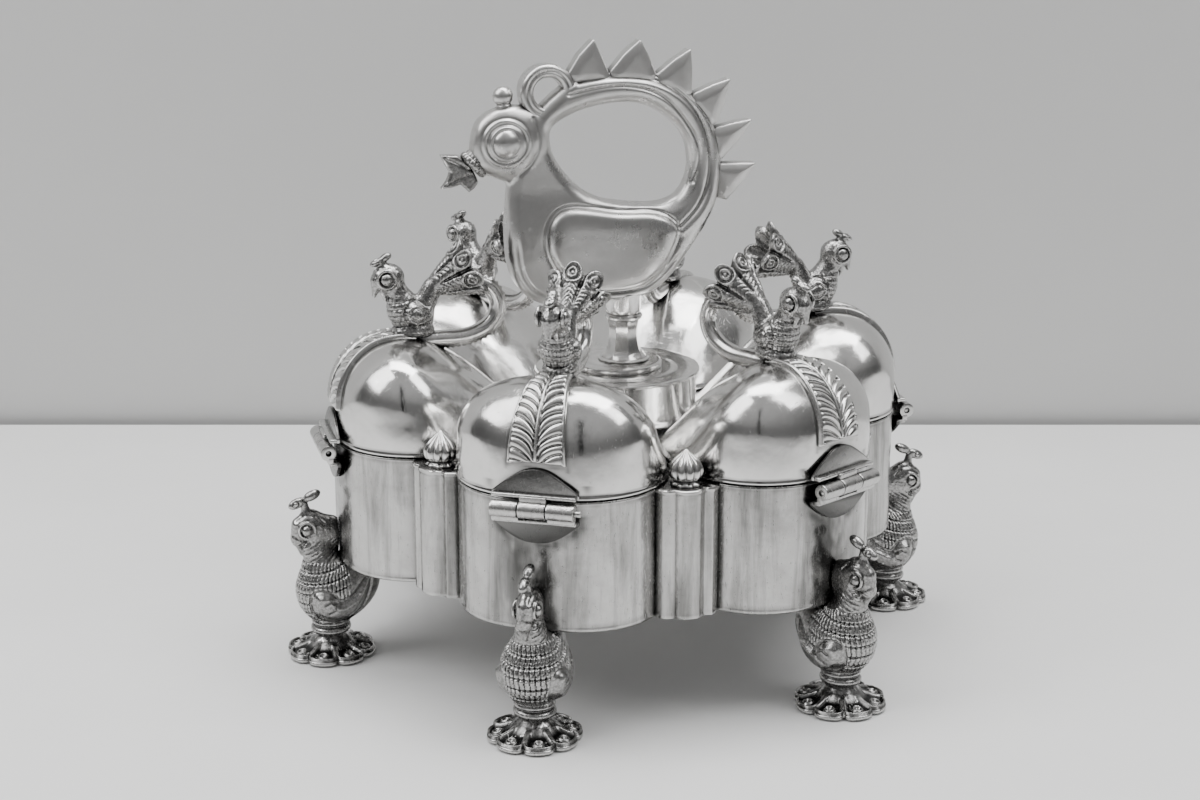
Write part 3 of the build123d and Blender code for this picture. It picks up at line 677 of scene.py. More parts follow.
def rod_mesh():
    """Round stem that leaves the leaf, runs inwards and curls up, with a beaded ridge."""
    pts = spline([(54.5, 80.2), (50.0, 79.35), (44.5, 79.3), (39.5, 79.45), (35.4, 80.6), (32.0, 83.2), (30.7, 86.4),
                  (31.3, 89.6), (33.4, 92.2), (36.0, 93.6)], 230, closed=False)
    d = np.gradient(pts, axis=0)
    d /= np.linalg.norm(d, axis=1, keepdims=True)
    nrm = np.stack([d[:, 1], -d[:, 0]], 1)               # outer side of the curl at the start is up
    nrm = -nrm
    s = np.concatenate([[0], np.cumsum(np.linalg.norm(np.diff(pts, axis=0), axis=1))])
    m = 56
    ps = np.linspace(0, 2 * math.pi, m, endpoint=False)
    rad = np.interp(s, [0, 3, 8, s[-1] - 3.0, s[-1]], [1.2, 2.0, 2.2, 2.05, 1.2])
    dp = np.abs((ps + math.pi) % (2 * math.pi) - math.pi)
    ridge = 0.46 * np.exp(-(dp / 0.26) ** 2)[None, :] * (0.50 + 0.50 * np.cos(2 * math.pi * s / 1.25))[:, None]
    groove = -0.26 * np.exp(-((dp - 0.55) / 0.17) ** 2)[None, :]
    roll = 0.10 * np.exp(-((dp - 1.0) / 0.30) ** 2)[None, :]
    mask = step01(5, 9, s)[:, None]
    r = rad[:, None] + (ridge + groove + roll) * mask - 0.1 * mask
    U = pts[:, 0][:, None] + nrm[:, 0][:, None] * r * np.cos(ps) * 1.05
    Z = pts[:, 1][:, None] + nrm[:, 1][:, None] * r * np.cos(ps) * 1.05
    Y = r * np.sin(ps)[None, :]
    V = np.stack([U, Y, Z], -1).reshape(-1, 3)
    F = grid_faces(len(pts), m, closed_v=True)
    V = np.vstack([V, [[pts[0, 0], 0, pts[0, 1]], [pts[-1, 0], 0, pts[-1, 1]]]])
    a, b = len(V) - 2, len(V) - 1
    n0 = (len(pts) - 1) * m
    tri = [(a, (k + 1) % m, k, k) for k in range(m)] + [(b, n0 + k, n0 + (k + 1) % m, n0 + (k + 1) % m) for k in range(m)]
    F = fix_out(V, F)
    faces = [list(map(int, f)) for f in F]
    flip = (F[0] == grid_faces(len(pts), m, closed_v=True)[0]).all()
    for (p, q_, r_, _) in tri:
        faces.append([p, q_, r_] if flip else [r_, q_, p])
    return V, faces


# ------------------------------------------------------------- lid bird
def lid_bird_mesh(h):
    f = Field((30.5, -9.2, 79.6), (65.5, 9.2, 105.2), h)
    X, Y, Z = f.X, f.Y, f.Z
    aY = np.abs(Y)
    d = f.ell((52.0, 0, 82.0), (5.4, 4.1, 2.1))
    d = smin(d, f.ell((52.2, 0, 86.0), (5.6, 4.5, 4.4), 20), 1.2)
    d = smin(d, f.ell((54.4, 0, 87.4), (3.8, 4.0, 4.4)), 1.4)
    d = smin(d, f.cone((54.8, 0, 89.5), (56.8, 0, 93.4), 3.3, 2.7), 1.2)
    # rows of short dashes on the breast, a raised oval wing on each side
    ang = np.arctan2(Y, X - 51.0)
    row = (Z - 82.6 + 0.22 * (X - 52)) / 1.55
    dash = np.abs(np.sin(ang * 13 + math.pi * 0.5 * (np.floor(row) % 2)))
    rl = np.abs(row - np.round(row))
    zone = step01(52.6, 53.8, X) * step01(82.4, 83.2, Z) * (1 - step01(90.6, 91.6, Z))
    d = d + zone * (0.24 * (1 - step01(0.04, 0.15, rl)) + 0.16 * (1 - step01(0.15, 0.5, dash)))
    wing = poly_dist(spline([(54.4, 86.6), (53.6, 88.6), (51.0, 89.3), (48.6, 88.2), (47.2, 90.2), (47.4, 86.4), (49.4, 84.2), (52.6, 84.0)], 60), X, Z)
    side = step01(1.6, 2.6, aY)
    d = d - side * (0.55 * (1 - step01(-0.7, 0.0, wing)) - 0.30 * np.exp(-((wing - 0.35) / 0.35) ** 2)
                    - 0.28 * np.exp(-((wing + 1.2) / 0.28) ** 2))
    # tail stem
    d = smin(d, f.cone((49.9, 0, 86.6), (46.9, 0, 92.4), 3.0, 2.4), 1.0)
    # head, beak, wattles, ringed eyes
    hd = f.ell((57.8, 0, 95.2), (4.0, 3.3, 3.6), -15)
    hd = smin(hd, f.cone((60.4, 0, 94.6), (61.3, 0, 91.0), 1.75, 0.5), 0.8)
    d = smin(d, hd, 0.9)
    d = np.minimum(d, f.torus((56.6, 0, 92.6), (0.42, 0, 0.9), 2.25, 0.38))
    for sgn in (-1, 1):
        d = smin(d, f.cone((59.4, sgn * 0.9, 92.4), (58.7, sgn * 1.25, 89.7), 0.72, 0.28), 0.3)
        d = smin(d, f.ell((58.6, sgn * 3.1, 95.4), (1.5, 1.1, 1.5)), 0.15)
        d = smin(d, f.torus((58.6, sgn * 2.95, 95.4), (0, 1, 0), 2.15, 0.40), 0.12)
    # crest: stalk and two flat lobes
    d = smin(d, f.cone((58.6, 0, 97.2), (59.4, 0, 99.2), 1.5, 1.2), 0.6)
    lob = smin(f.ell((60.6, 0, 99.2), (1.7, 1.25, 0.95), -27), f.ell((58.3, 0, 100.4), (1.6, 1.2, 0.95), -27), 0.25)
    lob = lob + 0.22 * np.exp(-((np.sqrt((X - 60.7) ** 2 + Y ** 2) - 0.7) / 0.2) ** 2)
    d = smin(d, lob, 0.35)
    # flower tail
    A = np.array([46.9, 0, 92.4])
    ax = np.array([-0.906, 0, 0.423])
    e1 = np.array([0.423, 0, 0.906])
    qx, qy, qz = X - A[0], Y, Z - A[2]
    s = qx * ax[0] + qz * ax[2]
    a1 = qx * e1[0] + qz * e1[2]
    r = np.sqrt(a1 ** 2 + qy ** 2)
    th = np.arctan2(qy, a1)
    NPET = 7
    dk = (th * NPET / (2 * math.pi))
    dl = (dk - np.round(dk)) * 2 * math.pi / NPET                # angle from the petal's middle
    c = np.cos(dl * NPET / 2.0)                                   # 1 middle, 0 crease
    prof = 2.0 + 4.9 * np.clip(s / 11.2, 0, 1.2) ** 0.8
    flare = step01(6.5, 11.4, s)
    Rs = prof + (0.75 * np.sqrt(np.clip(c, 0, 1)) - 0.55) * step01(1.0, 5.0, s) + 0.5 * flare * c
    w_arc = np.abs(dl) * np.maximum(r, 1)
    tip = 8.95
    rr = np.sqrt((s - tip) ** 2 + w_arc ** 2)
    outline = smin(rr - 2.62, s - 6.6, 0.8)
    shell = (np.abs(r - Rs + 0.7) - 0.88) * 0.86
    tail = smax(shell, outline, 0.45)
    tail = smax(tail, -s, 0.3)
    outside = step01(-0.2, 0.3, r - Rs + 0.4)
    rings = (-0.26 * np.exp(-((rr - 2.2) / 0.32) ** 2) + 0.40 * np.exp(-((rr - 1.6) / 0.28) ** 2)
             - 0.16 * np.exp(-((rr - 1.05) / 0.22) ** 2) + 0.36 * np.exp(-((rr - 0.5) / 0.22) ** 2))
    hatch = 0.20 * (1 - step01(0.1, 0.6, np.abs(np.sin(s * 2.9 + 7 * np.abs(dl))))) * step01(1.5, 2.5, s) * (1 - step01(5.6, 6.6, s))
    crease = 0.5 * (1 - step01(0.10, 0.42, c)) * step01(1.6, 3.2, s)
    tail = tail + outside * (rings + hatch + crease)
    d = smin(d, tail, 0.35)
    # seat on the strap
    d = smax(d, 80.35 - Z + 0 * X, 0.3)
    d = d + 0.075 * np.sin(X * 5.3 + 1.7 * np.sin(Z * 2.9)) * np.sin(Y * 5.9 + 1.2 * np.sin(X * 3.1)) * np.sin(Z * 5.1 + Y)
    return f.mesh(d, "lid_bird")


# ------------------------------------------------------------- leg bird
LEG_WING = spline([(79.6, 15.7), (78.9, 17.7), (76.3, 18.1), (74.4, 16.9), (72.9, 15.3), (71.2, 15.8), (68.4, 17.6),
                   (65.6, 20.4), (66.6, 15.6), (68.4, 12.4), (71.5, 10.2), (75.4, 10.0), (78.4, 11.8)], 90)


def leg_bird_mesh(h):
    f = Field((60.0, -10.2, 4.2), (85.6, 10.2, 44.6), h)
    X, Y, Z = f.X, f.Y, f.Z
    aY = np.abs(Y)
    body = f.ell((74.4, 0, 16.4), (8.4, 7.9, 8.2))
    body = smin(body, f.cone((74.4, 0, 9.6), (74.4, 0, 14.0), 4.2, 6.4), 1.6)
    body = smin(body, f.ell((69.6, 0, 18.2), (7.3, 6.4, 8.6), 35), 3.0)
    body = smin(body, f.cone((75.6, 0, 19.5), (77.2, 0, 26.6), 6.1, 3.7), 2.6)
    # dashes in rows over the breast
    ang = np.arctan2(Y, X - 72.5)
    row = (Z - 9.4 - 0.5 * np.abs(ang) ** 2 * 1.4) / 2.6
    rl = np.abs(row - np.round(row)) * 2.6
    dash = np.abs(np.sin(ang * 25 + 0.4 * np.sin(2.1 * np.floor(row + 0.5))))
    wing = poly_dist(LEG_WING, X, Z)
    out_w = np.where(aY > 3.0, step01(0.5, 1.1, wing), 1.0)
    zone = step01(9.0, 9.8, Z) * (1 - step01(24.6, 25.4, Z)) * out_w * step01(69.5, 71.5, X)
    body = body + zone * (0.44 * (1 - step01(0.12, 0.34, rl)) + 0.42 * (1 - step01(0.10, 0.62, dash)) - 0.18)
    side = step01(3.0, 5.0, aY)
    body = body - side * (0.95 * (1 - step01(-1.5, 0.0, wing)) - 0.45 * np.exp(-((wing - 0.45) / 0.40) ** 2))
    curl = line_dist([(76.9, 15.4), (75.6, 16.3), (74.0, 15.4), (74.0, 13.6), (75.6, 12.9)], X, Z)
    body = body + side * 0.30 * np.exp(-(curl / 0.32) ** 2)
    d = body
    # neck and head
    d = smin(d, f.cone((77.0, 0, 25.0), (78.2, 0, 30.6), 3.3, 2.7), 0.9)
    d = smin(d, f.ell((78.6, 0, 33.4), (4.0, 2.7, 4.6), -8), 1.3)
    d = smin(d, f.ell((75.2, 0, 30.8), (4.4, 2.2, 5.6), 25), 1.8)
    d = smin(d, f.cone((81.6, 0, 34.2), (81.9, 0, 30.5), 1.9, 1.9), 0.8)
    d = smin(d, f.cone((82.0, 0, 31.0), (81.2, 0, 26.6), 1.65, 0.45), 0.5)
    beak = line_dist([(83.6, 31.9), (81.2, 30.4), (79.6, 30.0)], X, Z)
    d = d + 0.28 * np.exp(-(beak / 0.28) ** 2) * step01(0.7, 1.2, aY)
    for sg in (-1, 1):
        d = smin(d, f.ell((79.7, sg * 1.75, 28.7), (1.3, 1.0, 1.35)), 0.25)
        d = smin(d, f.ell((79.9, sg * 2.55, 33.2), (1.35, 1.05, 1.35)), 0.10)
        d = smin(d, f.torus((79.9, sg * 2.40, 33.2), (0.12, 1, 0), 2.0, 0.36), 0.10)
    brow = line_dist([(75.6, 34.6), (77.6, 36.7), (80.4, 36.9), (82.6, 35.4)], X, Z)
    d = d + 0.28 * np.exp(-(brow / 0.3) ** 2) * step01(0.8, 1.4, aY)
    # fine hatching on throat and nape
    hz = step01(24.6, 25.6, Z) * (1 - step01(30.0, 31.0, Z)) * step01(0.8, 1.6, aY)
    d = d + hz * 0.16 * (1 - step01(0.1, 0.7, np.abs(np.sin(3.0 * Z + 2.0 * X))))
    # crest
    d = smin(d, f.cone((79.8, 0, 36.8), (80.1, 0, 39.6), 1.25, 0.85), 0.6)
    d = smin(d, f.ell((82.0, 0, 39.7), (2.3, 1.3, 1.25), -25), 0.4)
    d = smin(d, f.ell((78.2, 0, 41.5), (2.3, 1.3, 1.25), -25), 0.25)
    d = d + 0.3 * np.exp(-((np.sqrt((X - 82.2) ** 2 + (Z - 39.7) ** 2) - 0.75) / 0.22) ** 2) * step01(0.5, 0.9, aY)
    # collar and neck above the flower foot
    d = smin(d, f.cone((74.5, 0, 3.5), (74.5, 0, 9.4), 3.4, 4.3), 0.6)
    d = smin(d, f.torus((74.5, 0, 6.9), (0.03, 0.05, 1), 4.05, 0.98), 0.22)
    d = smin(d, f.torus((74.5, 0, 8.7), (0, 0, 1), 4.35, 0.5), 0.2)
    # room for the chamber: wall at u = 72 above z = 25
    box = np.minimum(72.0 - 0.0099 * Y ** 2 - X, Z - 24.98)
    d = smax(d, box, 0.12)
    d = np.maximum(d, 4.42 - Z + 0 * X)
    d = d + 0.05 * np.sin(X * 5.3 + 1.7 * np.sin(Z * 2.9)) * np.sin(Y * 5.9 + 1.2 * np.sin(X * 3.1)) * np.sin(Z * 5.1 + Y) * (Z > 4.9)
    return f.mesh(d, "leg_bird")


# ---------------------------------------------------------- flower foot
def foot_mesh():
    """Eight spoon-shaped petals round a waisted neck, each with a ringed eye near its tip."""
    nr, nt_ = 84, 480
    th = np.linspace(0, 2 * math.pi, nt_, endpoint=False)
    k = (np.degrees(th) - 22.5) / 45.0
    dl = np.radians((k - np.round(k)) * 45.0)
    x8 = np.abs(dl) / np.radians(22.5)
    RO = 11.05 - 0.5 * x8 ** 2 - 1.25 * x8 ** 5
    t = np.linspace(0, 1, nr)[:, None] ** 0.85
    r = 3.3 + (RO[None, :] - 3.3) * t
    base = np.interp(r, [3.3, 3.7, 4.4, 5.4, 6.8, 8.6, 11.2], [5.9, 5.0, 4.2, 3.5, 2.85, 2.25, 1.8])
    w = np.abs(dl)[None, :] * r
    gap = np.clip((np.radians(22.5) - np.abs(dl))[None, :] * r, 0, None)
    edge = np.minimum(RO[None, :] - r, gap + 0.1)
    out = step01(4.6, 6.6, r)
    bead = 0.16 * np.exp(-((edge - 0.35) / 0.35) ** 2) * step01(4.8, 5.8, r)
    bowl = -0.55 * step01(0.5, 1.15, edge) * out
    pe = np.hypot(r - 8.7, w)
    rings = (0.52 * np.exp(-((pe - 1.0) / 0.34) ** 2) + 0.26 * np.exp(-(pe / 0.7) ** 2) - 0.42 * np.exp(-(pe / 0.36) ** 2))
    seam = -0.38 * np.exp(-(gap / 0.16) ** 2) * step01(8.2, 9.2, r)
    flute = 0.10 * np.cos(dl * 8)[None, :] * (1 - step01(4.4, 6.0, r)) * step01(3.7, 4.4, r)
    z = base + bead + bowl + rings + seam + flute
    z = np.where(t > 0.985, 1.15, z)
    T = np.stack([FX + r * np.cos(th), r * np.sin(th), z], -1)
    rimo = np.stack([FX + (RO + 0.04) * np.cos(th), (RO + 0.04) * np.sin(th), np.full(nt_, 0.45)], -1)[None]
    rimb = np.stack([FX + (RO - 0.3) * np.cos(th), (RO - 0.3) * np.sin(th), np.zeros(nt_)], -1)[None]
    inn = np.stack([FX + 0.0 * th, 0.0 * th, 0.0 * th], -1)[None]
    topc = np.stack([FX + 0 * th, 0 * th, np.full(nt_, 6.0)], -1)[None]
    P = np.concatenate([topc, T, rimo, rimb, inn])
    V = P.reshape(-1, 3)
    return V, fix_out(V, grid_faces(len(P), nt_, closed_v=True))


FX = 74.5


def add_painted_darkness(me, fn):
    """Adds painted-in darkness, from a function of the point in millimetres, to the recesses: painted shade and
    painted dark reflection round and under parts, and darker petal bowls on the feet.
    """
    n = len(me.vertices)
    P = np.empty(n * 3)
    me.vertices.foreach_get("co", P)
    P = P.reshape(-1, 3) / MM
    at = me.attributes["cavity"].data
    a = np.empty(n, dtype=np.float32)
    at.foreach_get("value", a)
    at.foreach_set("value", np.clip(np.maximum(a, fn(P)), 0, 1).astype(np.float32))
    return me


def foot_dark(P):
    x, y, z = P[:, 0] - FX, P[:, 1], P[:, 2]
    r, th = np.hypot(x, y), np.degrees(np.arctan2(y, x))
    k = (th - 22.5) / 45.0
    dl = np.radians((k - np.round(k)) * 45.0)
    w = np.abs(dl) * r
    pe = np.hypot(r - 8.7, w)
    x8 = np.abs(dl) / np.radians(22.5)
    edge = np.minimum(11.05 - 0.5 * x8 ** 2 - 1.25 * x8 ** 5 - r, (np.radians(22.5) - np.abs(dl)) * r + 0.1)
    # darker in the petal bowls outside the eyes; painted shade in the neck's waist and along the bottom edge by the
    # table
    bowl = step01(0.6, 1.0, edge) * step01(5.0, 6.6, r) * step01(1.3, 1.6, pe)
    neck = 0.45 * step01(3.4, 3.7, r) * (1 - step01(4.6, 6.4, r))
    return np.where(z > 1.0, np.maximum(0.97 * bowl, neck), 0.25)


def cup_shade_and_reflection(seed):
    def fn(P):
        u, v, z = P[:, 0], P[:, 1], P[:, 2]
        # painted shadow and dark reflection of the leg bird on the wall behind it; painted shade round the lower hinge
        # leaf, under the lid's rim and along the bottom edge
        base = np.exp(-((v + 2.0) / 8.0) ** 2) * step01(22.0, 28.0, z) * (1 - step01(45.0, 53.0, z)) * (u > 64)
        halo = 1.0 * np.exp(-((np.hypot(v / 1.35, z - 52.5) - 7.2) / 1.6) ** 2) * (u > 66) * (z < 53)
        rim = 0.55 * np.exp(-((z - 55.3) / 0.6) ** 2) + 0.35 * np.exp(-((z - 26.3) / 0.5) ** 2)
        m = np.maximum(np.maximum(base, halo), rim)
        out = np.zeros(len(P))
        for i in np.nonzero(m > 0.03)[0]:
            q = noise.noise(Vector((v[i] * 0.22 + seed, u[i] * 0.22, z[i] * 0.10))) * 0.9 + noise.noise(Vector((v[i] * 0.8, seed, z[i] * 0.4))) * 0.5
            out[i] = m[i] * min(max(0.86 + q, 0.0), 1.0)
        return out
    return fn


def dome_painted_shade(seed):
    def fn(P):
        u, v, z = P[:, 0], P[:, 1], P[:, 2]
        # painted shade beside the hinge plate, along the leaf strap's edges, under the strap's lower end and along the
        # rim bead
        halo = 0.75 * np.exp(-((np.abs(v) - 11.2) / 1.3) ** 2) * (u > 69) * (z < 60)
        strap = 0.9 * np.exp(-((np.abs(v) - np.interp(z, [62, 70, 80], [7.3, 6.5, 4.9])) / 0.55) ** 2) * (u > 58) * (z > 63)
        under = 0.9 * np.exp(-((z - 64.0) / 0.5) ** 2) * (np.abs(v) < 7.0) * (u > 69)
        rim = 0.6 * np.exp(-((z - 57.75) / 0.28) ** 2)
        m = np.maximum(np.maximum(halo, strap), np.maximum(under, rim))
        out = np.zeros(len(P))
        for i in np.nonzero(m > 0.03)[0]:
            q = noise.noise(Vector((v[i] * 0.3 + seed, u[i] * 0.3, z[i] * 0.3)))
            out[i] = m[i] * min(max(0.7 + q, 0.0), 1.0)
        return out
    return fn


# ============================================================= peacock
BODY_PTS = [(-28.6, 110.0), (-28.6, 103.6), (-27.7, 95.9), (-25.2, 90.6), (-21.4, 87.6), (-13.0, 86.6),
            (-2.5, 86.8), (7.7, 88.4), (12.6, 92.2), (18.9, 100.4), (23.9, 108.0), (26.3, 116.1),
            (25.9, 124.3), (23.4, 131.5), (18.2, 137.6), (10.1, 142.2), (-2.0, 143.5), (-10.5, 142.6),
            (-17.0, 138.6), (-21.2, 134.4), (-24.5, 129.0), (-26.6, 123.5), (-27.9, 117.5)]
HEAD_PTS = [(-33.0, 119.4), (-36.6, 121.6), (-37.0, 125.0), (-36.4, 129.2), (-35.0, 132.6), (-31.2, 135.2), (-25.3, 136.1),
            (-19.6, 134.0), (-17.5, 128.0), (-20.0, 122.0), (-26.0, 117.6)]
HOLE_PTS = [(-17.4, 129.6), (-14.6, 132.2), (-6.4, 135.2), (0.2, 136.0), (5.7, 135.4), (11.8, 132.2),
            (16.4, 127.0), (17.8, 121.5), (16.9, 116.0), (14.0, 112.2), (9.6, 110.9), (1.9, 111.3),
            (-4.7, 112.6), (-9.7, 115.4), (-14.6, 120.6), (-17.2, 125.4)]
WING_PTS = [(-19.2, 102.1), (-18.6, 106.8), (-15.6, 110.4), (-10.7, 111.0), (0.3, 109.4), (12.6, 107.0),
            (14.3, 104.6), (13.6, 101.0), (9.3, 93.8), (4.6, 90.6), (-1.5, 89.6), (-10.8, 91.0), (-16.4, 95.4)]
GROOVE1 = [(-10.4, 141.5), (-1.2, 142.5), (8.7, 141.2), (16.5, 136.4), (21.6, 128.2), (22.8, 119), (20.1, 110.4), (15.1, 105.2)]
GROOVE2 = [(-13.1, 138.5), (-0.1, 140.3), (9.8, 137.7), (16.5, 131.1), (20, 123.4), (18.4, 115.9)]
SPIKES0 = [((-13.0, 143.2), (-6.6, 151.3), (-3.1, 143.6)), ((-2.3, 143.6), (5.1, 150.9), (9.0, 142.6)),
           ((9.4, 142.4), (17.8, 148.2), (18.2, 138.0)), ((18.9, 137.4), (28.0, 140.7), (24.8, 130.4)),
           ((24.9, 128.9), (33.8, 130.5), (26.4, 121.4)), ((26.3, 119.8), (34.9, 119.6), (27.6, 111.0))]
SPIKES = []
for (_a, _b, _c) in SPIKES0:
    _i = [(_p[0] + (4.0 - _p[0]) * 0.09, _p[1] + (118.0 - _p[1]) * 0.09) for _p in (_a, _c)]
    _m = [((_p[0] * 0.5 + _b[0] * 0.5) + (_p[0] * 0.5 + _b[0] * 0.5 - 4.0) * 0.018,
           (_p[1] * 0.5 + _b[1] * 0.5) + (_p[1] * 0.5 + _b[1] * 0.5 - 118.0) * 0.018) for _p in (_a, _c)]
    SPIKES.append([_i[0], _a, _m[0], _b, _m[1], _c, _i[1]])



def slab(dist, half, y, rnd):
    """Rounded plate: dist is the 2-D distance to its outline, half its half thickness."""
    a = dist + rnd
    b = np.abs(y) - (half - rnd)
    return np.sqrt(np.maximum(a, 0) ** 2 + np.maximum(b, 0) ** 2) + np.minimum(np.maximum(a, b), 0) - rnd


def peacock_meshes(h):
    out = {}
    f = Field((-38.0, -7.4, 86.8), (26.5, 7.4, 143.9), h)
    X, Y, Z = f.X, f.Y, f.Z
    body2 = smin(poly_dist(spline(BODY_PTS, 260), X, Z), poly_dist(spline(HEAD_PTS, 120), X, Z), 1.6)
    hole2 = poly_dist(spline(HOLE_PTS, 160), X, Z)
    low = 1 - step01(104.0, 116.0, Z)
    half = 3.75 + 1.15 * low + 0 * X
    d2 = np.maximum(body2, -hole2)
    half = half[:, :, :] + 0.0
    full = slab(d2, half, Y, 3.3)
    # belly swells in the middle
    swell = f.ell((0.5, 0, 101.0), (25.0, 5.6, 13.5))
    full = smin(full, smax(swell, slab(d2 + 0.6, 6.2, Y, 3.0), 1.0), 1.2)
    head = smax(f.ell((-27.6, 0, 127.6), (10.4, 5.6, 8.8)), d2 + 0.1, 0.8)
    full = smin(full, head, 1.0)
    aY = np.abs(Y)
    top = step01(0.8, 1.8, aY)
    g1 = line_dist(spline(GROOVE1, 80, closed=False), X, Z)
    g2 = line_dist(spline(GROOVE2, 80, closed=False), X, Z)
    full = full + top * (0.62 * np.exp(-(g1 / 0.50) ** 2) + 0.50 * np.exp(-(g2 / 0.42) ** 2))
    band = np.minimum(np.abs(g1 - 1.5), 9)
    full = full - top * 0.22 * np.exp(-(band / 0.7) ** 2) * (body2 < -1.2)
    rimline = np.abs(d2 + 2.35)
    bottom = (1 - step01(97.0, 101.0, Z + 0.12 * X))
    full = full + top * bottom * 0.42 * np.exp(-(rimline / 0.42) ** 2)
    wing2 = poly_dist(spline(WING_PTS, 140), X, Z)
    full = full + top * 0.34 * np.exp(-((wing2 - 0.45) / 0.38) ** 2)
    # rings round the eye, the neck line behind the head
    er = np.sqrt((X + 28.9) ** 2 + (Z - 127.5) ** 2)
    full = full + top * (0.30 * np.exp(-((er - 4.75) / 0.34) ** 2) - 0.16 * np.exp(-((er - 5.45) / 0.4) ** 2)
                         + 0.22 * np.exp(-((er - 6.1) / 0.30) ** 2))
    nk = line_dist(spline([(-21.9, 133.3), (-20.7, 128.4), (-21.9, 123.6), (-25.4, 119.6)], 40, closed=False), X, Z)
    full = full + top * 0.30 * np.exp(-(nk / 0.40) ** 2)
    out["peacock_body"] = f.mesh(full, "b")
    # wings
    f = Field((-18.5, -8.2, 90.0), (17.5, 8.2, 112.0), h)
    X, Y, Z = f.X, f.Y, f.Z
    w2 = poly_dist(spline(WING_PTS, 140), X, Z)
    half = 5.25 + 1.5 * np.sqrt(np.clip(1 - np.clip((w2 + 5.5) / 5.5, 0, 1) ** 2, 0, 1))
    wg = np.maximum(slab(w2, half, Y, 1.6), 3.2 - np.abs(Y))
    out["peacock_wings"] = f.mesh(wg, "w")
    # curl over the head
    f = Field((-25.6, -4.6, 131.4), (-10.4, 4.6, 146.6), h * 0.8)
    X, Y, Z = f.X, f.Y, f.Z
    rr = np.sqrt((X + 18.0) ** 2 + (Z - 139.1) ** 2)
    cur = slab(np.abs(rr - 5.28) - 1.62, 3.2, Y, 1.25)
    cur = cur + 0.30 * np.exp(-((rr - 5.3) / 0.36) ** 2) * step01(1.0, 2.0, np.abs(Y))
    out["peacock_crest_curl"] = f.mesh(cur, "c")
    # eyes
    f = Field((-33.6, -7.4, 122.8), (-24.2, 7.4, 132.2), h * 0.7)
    X, Y, Z = f.X, f.Y, f.Z
    er = np.sqrt((X + 28.9) ** 2 + (Z - 127.5) ** 2)
    ey = None
    for sg in (-1, 1):
        e = f.ell((-28.9, sg * 4.35, 127.5), (3.55, 2.45, 3.55))
        e = np.minimum(e, f.torus((-28.9, sg * 4.75, 127.5), (0, 1, 0), 3.75, 0.55))
        e = np.maximum(e, 3.4 - sg * Y)
        ey = e if ey is None else np.minimum(ey, e)
    out["peacock_eyes"] = f.mesh(ey, "e")
    # knob on the head
    f = Field((-31.8, -3.0, 133.6), (-25.6, 3.0, 141.6), h * 0.7)
    kn = smin(f.ell((-28.8, 0, 138.35), (2.5, 2.4, 2.45)), f.cone((-28.3, 0, 135.0), (-28.7, 0, 137.2), 1.7, 1.1), 0.4)
    kn = np.minimum(kn, f.torus((-28.55, 0, 136.1), (-0.15, 0, 1), 1.55, 0.35))
    out["peacock_crest_knob"] = f.mesh(kn, "k")
    # tail spikes: faceted points with a middle ridge
    f = Field((-14.0, -3.6, 108.0), (42.0, 3.6, 151.4), h)
    X, Y, Z = f.X, f.Y, f.Z
    sp = None
    for poly in SPIKES:
        p2 = poly_dist(poly, X, Z)
        s = slab(p2 - 0.25, 2.85, Y, 0.8)
        s = smax(s, (p2 * 0.42 + (np.abs(Y) - 2.15)) * 0.92, 0.4)
        sp = s if sp is None else np.minimum(sp, s)
    out["peacock_tail_spikes"] = f.mesh(sp, "s")
    return out


def collar_meshes(h):
    out = {}
    f = Field((-41.4, -4.6, 116.4), (-30.8, 4.6, 127.4), h)
    n = (-0.724, 0, -0.69)
    c = (-36.25, 0, 122.1)
    a = f.torus(c, n, 2.95, 1.05)
    b = f.torus((c[0] + 0.9, 0, c[2] + 0.86), n, 2.6, 0.85)
    x, y, z = f.X - c[0], f.Y - c[1], f.Z - c[2]
    s = x * n[0] + z * n[2]
    w = np.sqrt(np.maximum(x * x + y * y + z * z - s * s, 0))
    core = np.maximum(w - 3.0, np.abs(s) - 0.95)
    k = smin(smin(a, b, 0.2), core, 0.25)
    th = np.arctan2(y, x * n[2] - z * n[0])
    k = k + 0.16 * np.exp(-(np.abs(np.sin(th * 9)) / 0.35) ** 2) * step01(2.9, 3.3, w)
    out["beak_collar"] = f.mesh(k, "col")
    return out


# ============================================== pedestal, finials, pillars
def lathe(profile, fn, n):
    """Closed turned skin: profile of (r, z), fn(theta, row) scales each radius."""
    th = np.linspace(0, 2 * math.pi, n, endpoint=False)
    rows = [np.stack([r * fn(th, k) * np.cos(th), r * fn(th, k) * np.sin(th), np.full(n, z)], -1)
            for k, (r, z) in enumerate(profile)]
    P = np.stack(rows)
    return P.reshape(-1, 3), fix_out(P.reshape(-1, 3), grid_faces(len(rows), n, closed_v=True))


def bud_mesh():
    z0 = 56.15
    prof = [(0.001, z0), (3.4, z0), (3.6, z0 + 0.15), (3.65, z0 + 0.45), (3.35, z0 + 0.75), (2.9, z0 + 1.0)]
    body = spline([(2.8, z0 + 1.2), (3.6, z0 + 1.8), (4.08, z0 + 3.1), (3.75, z0 + 4.7), (2.7, z0 + 6.2), (1.2, z0 + 7.5),
                   (0.55, z0 + 8.1)], 34, closed=False)
    prof += [tuple(p) for p in body] + [(0.35, z0 + 8.35), (0.001, z0 + 8.4)]
    prof = np.array(prof)

    def fn(th, k):
        z = prof[k, 1]
        a = np.abs(np.cos(th * 5.0))                       # ten lobes with sharp valleys
        amt = step01(z0 + 1.1, z0 + 2.2, z) * (1 - 0.5 * step01(z0 + 7.0, z0 + 8.3, z))
        wav = 0.05 * np.cos(th * 9) * (1 - step01(z0 + 0.8, z0 + 1.1, z))
        return 1 - amt * 0.15 * (1 - a) ** 1.3 + wav - 0.03 * (amt < 0.01)
    return lathe(prof, fn, 160)


